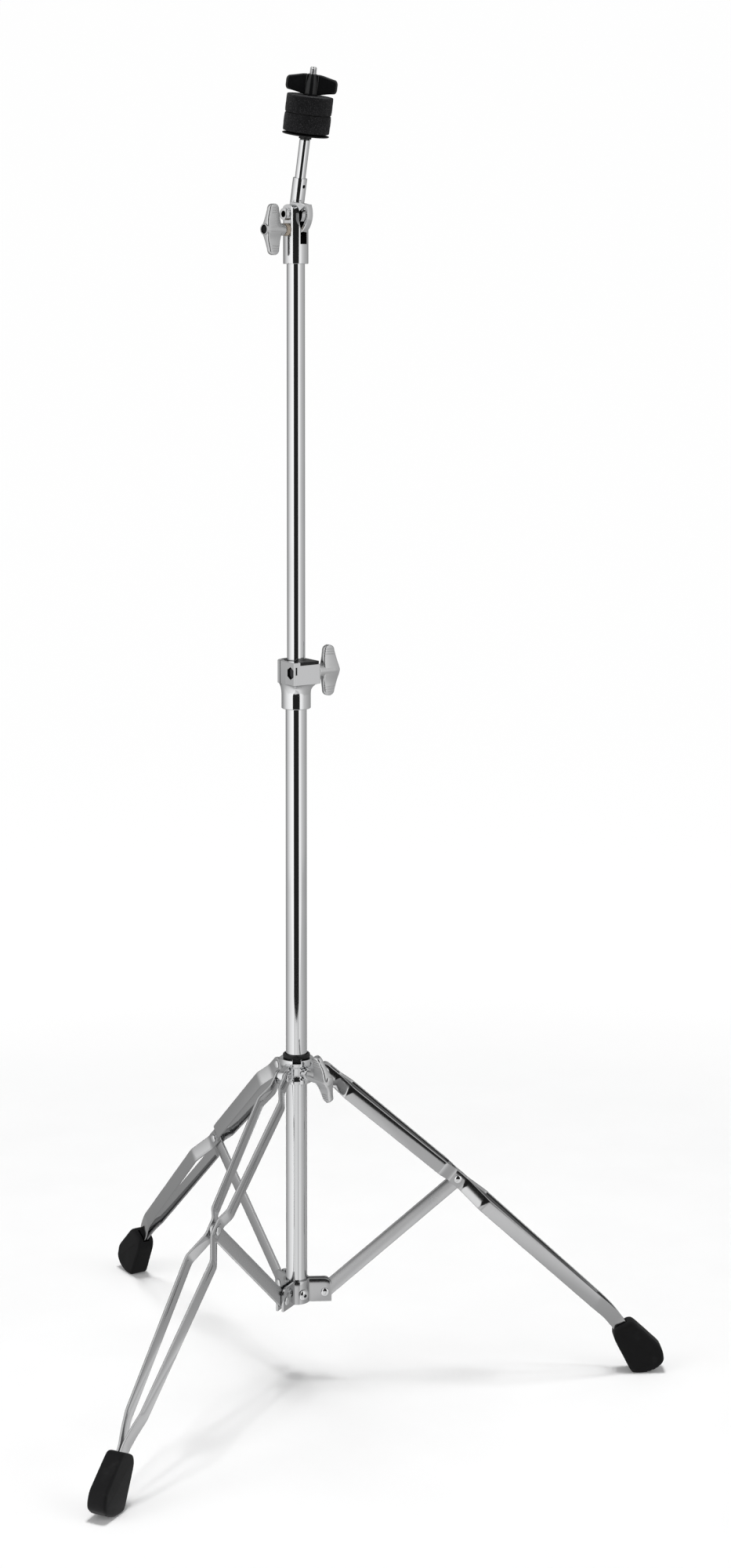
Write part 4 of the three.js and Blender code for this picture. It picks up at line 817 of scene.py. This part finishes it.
# Bushing, clamp bolt and wing nut of the mid collar. The nylon bushing lines the collar and its
# flange shows on top; the hexagon head sits in the block's pocket and the wing nut faces it.
for slot in frame["nodes"]["mid_collar_bushing"].material_slots:
    slot.link, slot.material = "OBJECT", black_nylon
dark_steel = chrome_finish("blued_bolt", (0.06, 0.06, 0.063, 1), 0.35, 0.0003)
bolt_place = block_foot + [0, 0, bolt_height / 1000] - np.cross([0, 0, 1], clamp_x) * (bolt_off / 1000)
head_seat, head_half, head_tall, bolt_end = 6.1 - block_half, 5.5, 4.2, 38.6
head_profile = eased([(0, head_seat - head_tall), (head_half, head_seat - head_tall),
                      (head_half, head_seat), (0, head_seat)], (0, 0.4, 0.1, 0))
hex_head = turned(head_profile * [1 / hex_flat, 1], 6)
shank = turned([(0, 6.0 - block_half), (3.0, 6.0 - block_half), (3.0, bolt_end - 0.4), (2.6, bolt_end),
                (0, bolt_end)], 32)
clamp_bolt = piece("clamp_bolt_turned", [placed(part, bolt_place, (0, 0, 1), clamp_x)
                                         for part in (hex_head, shank)], dark_steel)
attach(clamp_bolt, "base")
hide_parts("mid_clamp_bolt")
mid_wing = placed_wing("mid_wing_cast", "mid_wing_turn", 0.0, 3.8, 3.0, 0)
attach(mid_wing, "mid_wing")
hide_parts("mid_wing_nut")

# Upper tube and plug. A 19.05 mm chromed steel tube that slides in the base tube, guided by a
# nylon plug in its lower end, and holds the tilter on its upper end.
upper_radius, upper_shell = tube_of("upper_tube")
upper_tube = piece("upper_tube_chrome", [placed(upper_shell, pole)], chrome)
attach(upper_tube, "mast")
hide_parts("upper_tube")
for slot in frame["nodes"]["upper_tube_plug"].material_slots:
    slot.link, slot.material = "OBJECT", black_nylon

# Tilter body. A chromed casting: a socket over the tube that rises into two flat cheeks with a
# slot between them, bored for the pivot screw and the wing screw, with a thin saw cut below.


def standing(shell, middle=(0, 0)):
    """Turns an outline given as (forward, up) to the tilter's YZ plane, its thickness along X."""
    return posed(shell, (0, *middle), (0, 1, 0), (1, 0, 0))


pivot = np.array(joints["tilt"]["pos_m"])
tilter_x = -np.array(joints["tilt"]["axis"])
tilter_foot = pole + [0, 0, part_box("tilter_body")[0].z]
pivot_up, wing_drop, head_radius, barrel_radius, boss_reach = 51.5, 16, 10.2, 13.2, 11.8
gap_wide, gap_floor, saw_wide, saw_x = 8.6, 20.5, 1.3, heading(13)
barrel = turned(eased([(0, 0), (barrel_radius - 0.2, 0), (barrel_radius, 1.0), (barrel_radius, 66),
                       (0, 66)], (0, 0.3, 0.3, 0, 0)), 96)
shoulders = eased([(16, 30), (head_radius, 43.4), (head_radius, 51)], 4.0, 5, closed=False)[1:-1]
cheek = np.concatenate([[(-16, -2), (16, -2), (16, 30)], shoulders,
                        arc_of(np.linspace(0, np.pi, 40), head_radius, (0, pivot_up)), [(-16, 30)]])
gap = brick(gap_wide, 60, 60, (0, 0, gap_floor + 30))
tube_socket = round_bar(upper_radius + 0.3, -5, 18, 96)
flat_start = pivot_up - wing_drop - hub_wide - 0.3
side_flats = [brick(10, 60, 60, (sign * (boss_reach + 5), 0, flat_start + 30)) for sign in (1, -1)]
saw = posed(brick(5, saw_wide, 21.0, (barrel_radius + 1.3, 0, flat_start - 9.5)), x=saw_x)
drills = [standing(round_bar(3.2, -30, 30), (0, height)) for height in (pivot_up, pivot_up - wing_drop)]
tilter_body = carved("tilter_body_cast", barrel, cast_chrome, tilter_foot, tilter_x,
                     keep=[standing(plate(cheek, 40, 0.1, 1))],
                     cut=[gap, tube_socket, saw, *side_flats, *drills], rim=0.3)
# Painted shade in the slot between the cheeks and in the saw cut.
paint_hole_shade(tilter_body, tilter_foot, tilter_x, (0, 0, 1),
         lambda x, y, z:
         (np.abs(x) < gap_wide / 2 + 0.05) & (z > gap_floor - 0.1) & (np.hypot(x, y) < 12.9)
         | (np.abs(y * saw_x[0] - x * saw_x[1]) < saw_wide / 2 + 0.02) & (x > 11)
         & (z < flat_start + 0.9) & (np.hypot(x, y) < 13.1))
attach(tilter_body, "mast")
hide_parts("tilter_body")

# Pivot screw, nut and washer. A socket-head screw right through the cheeks with a hexagon nut,
# and a beige nylon washer under the wing screw that clamps the arm.
cap = [(6.1, 0), (6.4, 0.3), (6.4, 4.1), (6.2, 4.7), (5.6, 4.95), (4.5, 4.95)]
pivot_shell = socket_head(cap, boss_reach + 0.3, -(boss_reach + 4.6), 2.9, 3.0)
pivot_screw = piece("pivot_screw_turned", [placed(pivot_shell, pivot, (0, 0, 1), tilter_x)], chrome)
# Painted shade in the screw's hexagon socket.
paint_hole_shade(pivot_screw, pivot, (0, 0, 1), tilter_x,
         lambda x, y, z: (np.hypot(x, y) < 3.4) & (z > boss_reach + 1.5) & (z < boss_reach + 5.1))
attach(pivot_screw, "mast")
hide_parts("tilter_pivot_screw")
nut_profile = eased([(0, -4), (4.6, -4), (4.6, 0), (0, 0)], (0, 0.5, 0.3, 0)) * [1 / hex_flat, 1]
nut_place = pivot - tilter_x * ((boss_reach + 0.3) / 1000)
pivot_nut = piece("pivot_nut_turned",
                  [placed(turned(nut_profile, 6), nut_place, (0, 0, 1), tilter_x)], chrome)
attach(pivot_nut, "mast")
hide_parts("tilter_pivot_nut")
beige_nylon = nylon_finish("beige_nylon", (0.47, 0.4, 0.325, 1), 0.45, 0.0001)
washer_shell = turned(eased([(3.3, -0.9), (6.6, -0.9), (6.6, 3.9), (3.3, 3.9)], 0.35), 64)
washer = piece("tilter_washer_moulded",
               [placed(washer_shell, middle_of("tilter_washer"), (0, 0, 1), tilter_x)], beige_nylon)
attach(washer, "mast")
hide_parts("tilter_washer")
tilter_wing = placed_wing("tilter_wing_cast", "tilter_wing_turn", 0.0, 6.6, 2.9, 26.0, True, 3.1)
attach(tilter_wing, "tilter_wing")
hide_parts("tilter_wing_screw")

# Tilter arm. A chromed quadrant with a raised rim and a curved clamp slot, under a round sleeve
# that grips the cymbal rod; a set screw's hole faces forward in the sleeve.
rod_way = np.array(joints["seat_lift"]["axis"])
hoop_radius, hoop_half, web_thick, slot_half = 23, 3.9, 4.4, 3.3
stem_radius, stem_bore, stem_top, stem_floor, set_up = 7.45, 5.85, 38.2, 14.2, 30
arc = arc_of(np.linspace(np.radians(-126), np.radians(36), 60))
sector = standing(plate(np.concatenate([[(0.3, 0.1)], arc[1:-1] * (hoop_radius - 0.5)]),
                        web_thick, 0.3, 2))
hoop = standing(plate(np.concatenate([arc * hoop_radius, arc[::-1] * (wing_drop + slot_half)]),
                      2 * hoop_half, 0.8, 3))
hub = standing(turned(eased([(0, -hoop_half), (7.2, -hoop_half), (7.2, hoop_half), (0, hoop_half)],
                            (0, 0.6, 0.6, 0)), 64))
neck = standing(plate([(-7.0, 0.5), (3, -1), (16.4, 10.9), (15.0, 13.1), (stem_radius, 13.1),
                       (-7.4, 13.1)], 7.6, 0.4, 2))
sleeve = turned(eased([(0, 12.4), (stem_radius, 12.4), (stem_radius, stem_top), (stem_bore, stem_top),
                       (stem_bore, stem_floor), (0, stem_floor)], (0, 0.9, 0.7, 0.3, 0, 0)), 64)
swing = arc_of(np.linspace(np.radians(-106), np.radians(8), 40))
clamp_slot = standing(plate(np.concatenate([swing * (wing_drop + slot_half),
                                            swing[::-1] * (wing_drop - slot_half)]), 20, 0.05, 1))
slot_ends = [standing(round_bar(slot_half, -10, 10, 32), wing_drop * swing[end]) for end in (0, -1)]
set_hole = posed(round_bar(1.9, 4.5, 12, 32), (0, 0, set_up), z=(0, 1, 0))
arm = carved("tilter_arm_cast", sector, cast_chrome, pivot, tilter_x, rod_way,
             join=[hoop, hub, neck, sleeve], cut=[clamp_slot, *slot_ends, set_hole])
# Painted shade in the set screw's hole.
paint_hole_shade(arm, pivot, tilter_x, rod_way, lambda x, y, z: (y > 4.4) & (np.hypot(x, z - set_up) < 1.95))
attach(arm, "arm")
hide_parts("tilter_arm")

# Cymbal rod. An 11 mm chromed rod stepped down to an M7 thread that carries the seat, the felts
# and the wing nut; only the last few millimetres of the thread show.
rod_radius, tip_radius, rod_from, shoulder, rod_end = 5.55, 3.5, 14.5, 78.6, 153.5
thread_from, pitch, thread_deep = 100.0, 1.0, 0.28
crests = np.arange(thread_from, rod_end - 1.5, pitch / 4)
depth = thread_deep * (0.5 - 0.5 * np.cos(np.arange(len(crests)) * np.pi / 2))
profile = np.concatenate([[(0, rod_from), (rod_radius, rod_from), (rod_radius, shoulder - 0.8),
                           (rod_radius - 0.8, shoulder), (tip_radius, shoulder)],
                          np.column_stack([tip_radius - depth, crests]),
                          [(tip_radius, rod_end - 1.2), (tip_radius - 0.8, rod_end), (0, rod_end)]])
rod = piece("cymbal_rod_turned", [placed(turned(profile, 56), pivot, tilter_x, rod_way)], chrome)
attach(rod, "arm")
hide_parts("cymbal_rod")

# Cymbal seat. A black nylon cup: a hub on the rod's shoulder, a dished disc under the felts and
# a sleeve up through them that keeps the cymbal's hole off the thread.
seat_from, disc_radius, tip_up = 78.9, 24.4, 115.6
profile = eased([(4, seat_from), (6.6, seat_from), (6.6, seat_from + 3.0), (23.6, 82.7),
                 (disc_radius, 83.1), (disc_radius, 83.9), (23.8, 84.2), (15.0, 85.6), (5.6, 85.6),
                 (5.6, tip_up), (4, tip_up)],
                (0.4, 0.5, 1.2, 0.6, 0.4, 0.4, 0.6, 2.0, 0.5, 0.3, 0.3))
seat = piece("cymbal_seat_moulded", [placed(turned(profile, 96), pivot, tilter_x, rod_way)], black_nylon)
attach(seat, "seat")
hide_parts("cymbal_seat")

# Felts. Two discs punched from dense charcoal wool felt, one below and one above the cymbal:
# soft edges, slightly crowned faces, a full side that bears a few pulled fibres.


def felt_finish():
    """Wool felt: fibre specks lighter and darker than the dye, a soft uneven nap, and sheen."""
    material, root, shader = finish_of("charcoal_felt", Sheen_Weight=0.06, Sheen_Roughness=0.5,
                                       Specular_IOR_Level=0.1)
    fibre = noise(root, 1700.0, 2.0)
    tuft = noise(root, 260.0, 4.0)
    speck = fibre.band(0.58, 0.7)
    cloud = noise(root, 45.0, 3.0).band(0.3, 0.7)
    dye = cloud.blend((0.009, 0.009, 0.0098, 1), (0.015, 0.015, 0.016, 1))
    wool = (speck * 0.75).blend(dye, (0.12, 0.12, 0.125, 1))
    height = fibre * 0.5 + tuft
    feed(shader, Base_Color=wool, Roughness=0.88 + speck * 0.1,
         Normal=root.node("Bump", None, {"Height": height, "Strength": 0.8, "Distance": 0.0009}))
    return material


felt = felt_finish()
felt_radius, felt_tall, felt_bore = 24.4, 19.0, 5.9
felt_places = {"lower_felt": (85.9, "felt_low"), "upper_felt": (105.2, "felt_high")}
soft, crown, full = 0.8, 0.25, 0.3
t = np.linspace(0, np.pi / 2, 7)
corner = np.column_stack([felt_radius - full - soft * (1 - np.cos(t)),
                          felt_tall - crown - soft * (1 - np.sin(t))])
face = np.linspace(felt_radius - full - soft, felt_bore, 16)[1:]
lift = crown * np.sin(np.pi * (face - felt_bore) / (felt_radius - felt_bore))
upper = np.concatenate([corner, np.column_stack([face, felt_tall - crown + lift])])
side_up = np.linspace(0.15, 0.85, 12)
side = np.column_stack([felt_radius - full + full * np.sin(np.pi * side_up), felt_tall * side_up])
profile = np.concatenate([(upper * [1, -1] + [0, felt_tall])[::-1], side, upper])
for seed, (node, (start, body)) in enumerate(felt_places.items()):
    points, faces = turned(profile, 160)
    angle, around = np.arctan2(points[:, 1], points[:, 0]), np.hypot(points[:, 0], points[:, 1])
    wobble = 0.12 * np.sin(5 * angle + seed * 2) + 0.09 * np.sin(11 * angle + points[:, 2] * 0.5 + seed)
    wobble = wobble * np.clip((around - 12) / 10, 0, 1)
    drawn = points * (1 - np.abs(wobble) / felt_radius)[:, None] * [1, 1, 0]
    points = drawn + points * [0, 0, 1] + [0, 0, start]
    disc = piece(node + "_wool", [placed((points, faces), pivot, tilter_x, rod_way)], felt)
    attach(disc, body)
    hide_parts(node)

# Top wing nut. Glossy black moulded plastic: a tapered hub with a plain bore and two thick lobes
# with round ends, screwed down on the upper felt.
black_gloss = nylon_finish("black_gloss", (0.009, 0.0092, 0.0098, 1), 0.12, 0.00003)
nut_tall, nut_half, nut_thick, nut_hub = 21.8, 26.7, 9.0, 7.6
right = eased([(0, 0.3), (7.5, 0.5), (20.0, 3.2), (26.9, 3.8), (26.9, 17.4), (20.0, 18.8),
               (9.0, nut_tall - 0.3), (0, nut_tall - 0.2)], (0, 1.5, 4.0, 6.6, 6.6, 6.0, 3.0, 0), 8)
lobe = right[right[:, 0] > 0.01]
lobe = np.concatenate([[(4.6, 0.7), (4.6, nut_tall - 0.9)], lobe[::-1]])
lobe[:, 0] = np.minimum(lobe[:, 0], nut_half)
wings = [posed(plate(lobe * [sign, 1], nut_thick, 2.4, 7), z=(0, -1, 0)) for sign in (1, -1)]
hub = turned(eased([(3.8, 0), (nut_hub, 0), (nut_hub * 0.94, 13), (nut_hub * 0.66, nut_tall),
                    (3.8, nut_tall)], (0.3, 0.6, 2.0, 0.8, 0.4)), 64)
span = np.array([1.0, 0, 0])
span = span - rod_way * (span @ rod_way)
span = span / np.linalg.norm(span)
nut_seat = np.array(joints["top_nut_turn"]["pos_m"])
top_nut = piece("top_nut_moulded", [placed(part, nut_seat, span, rod_way) for part in (*wings, hub)],
                black_gloss)
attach(top_nut, "top_nut")
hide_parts("top_wing_nut")
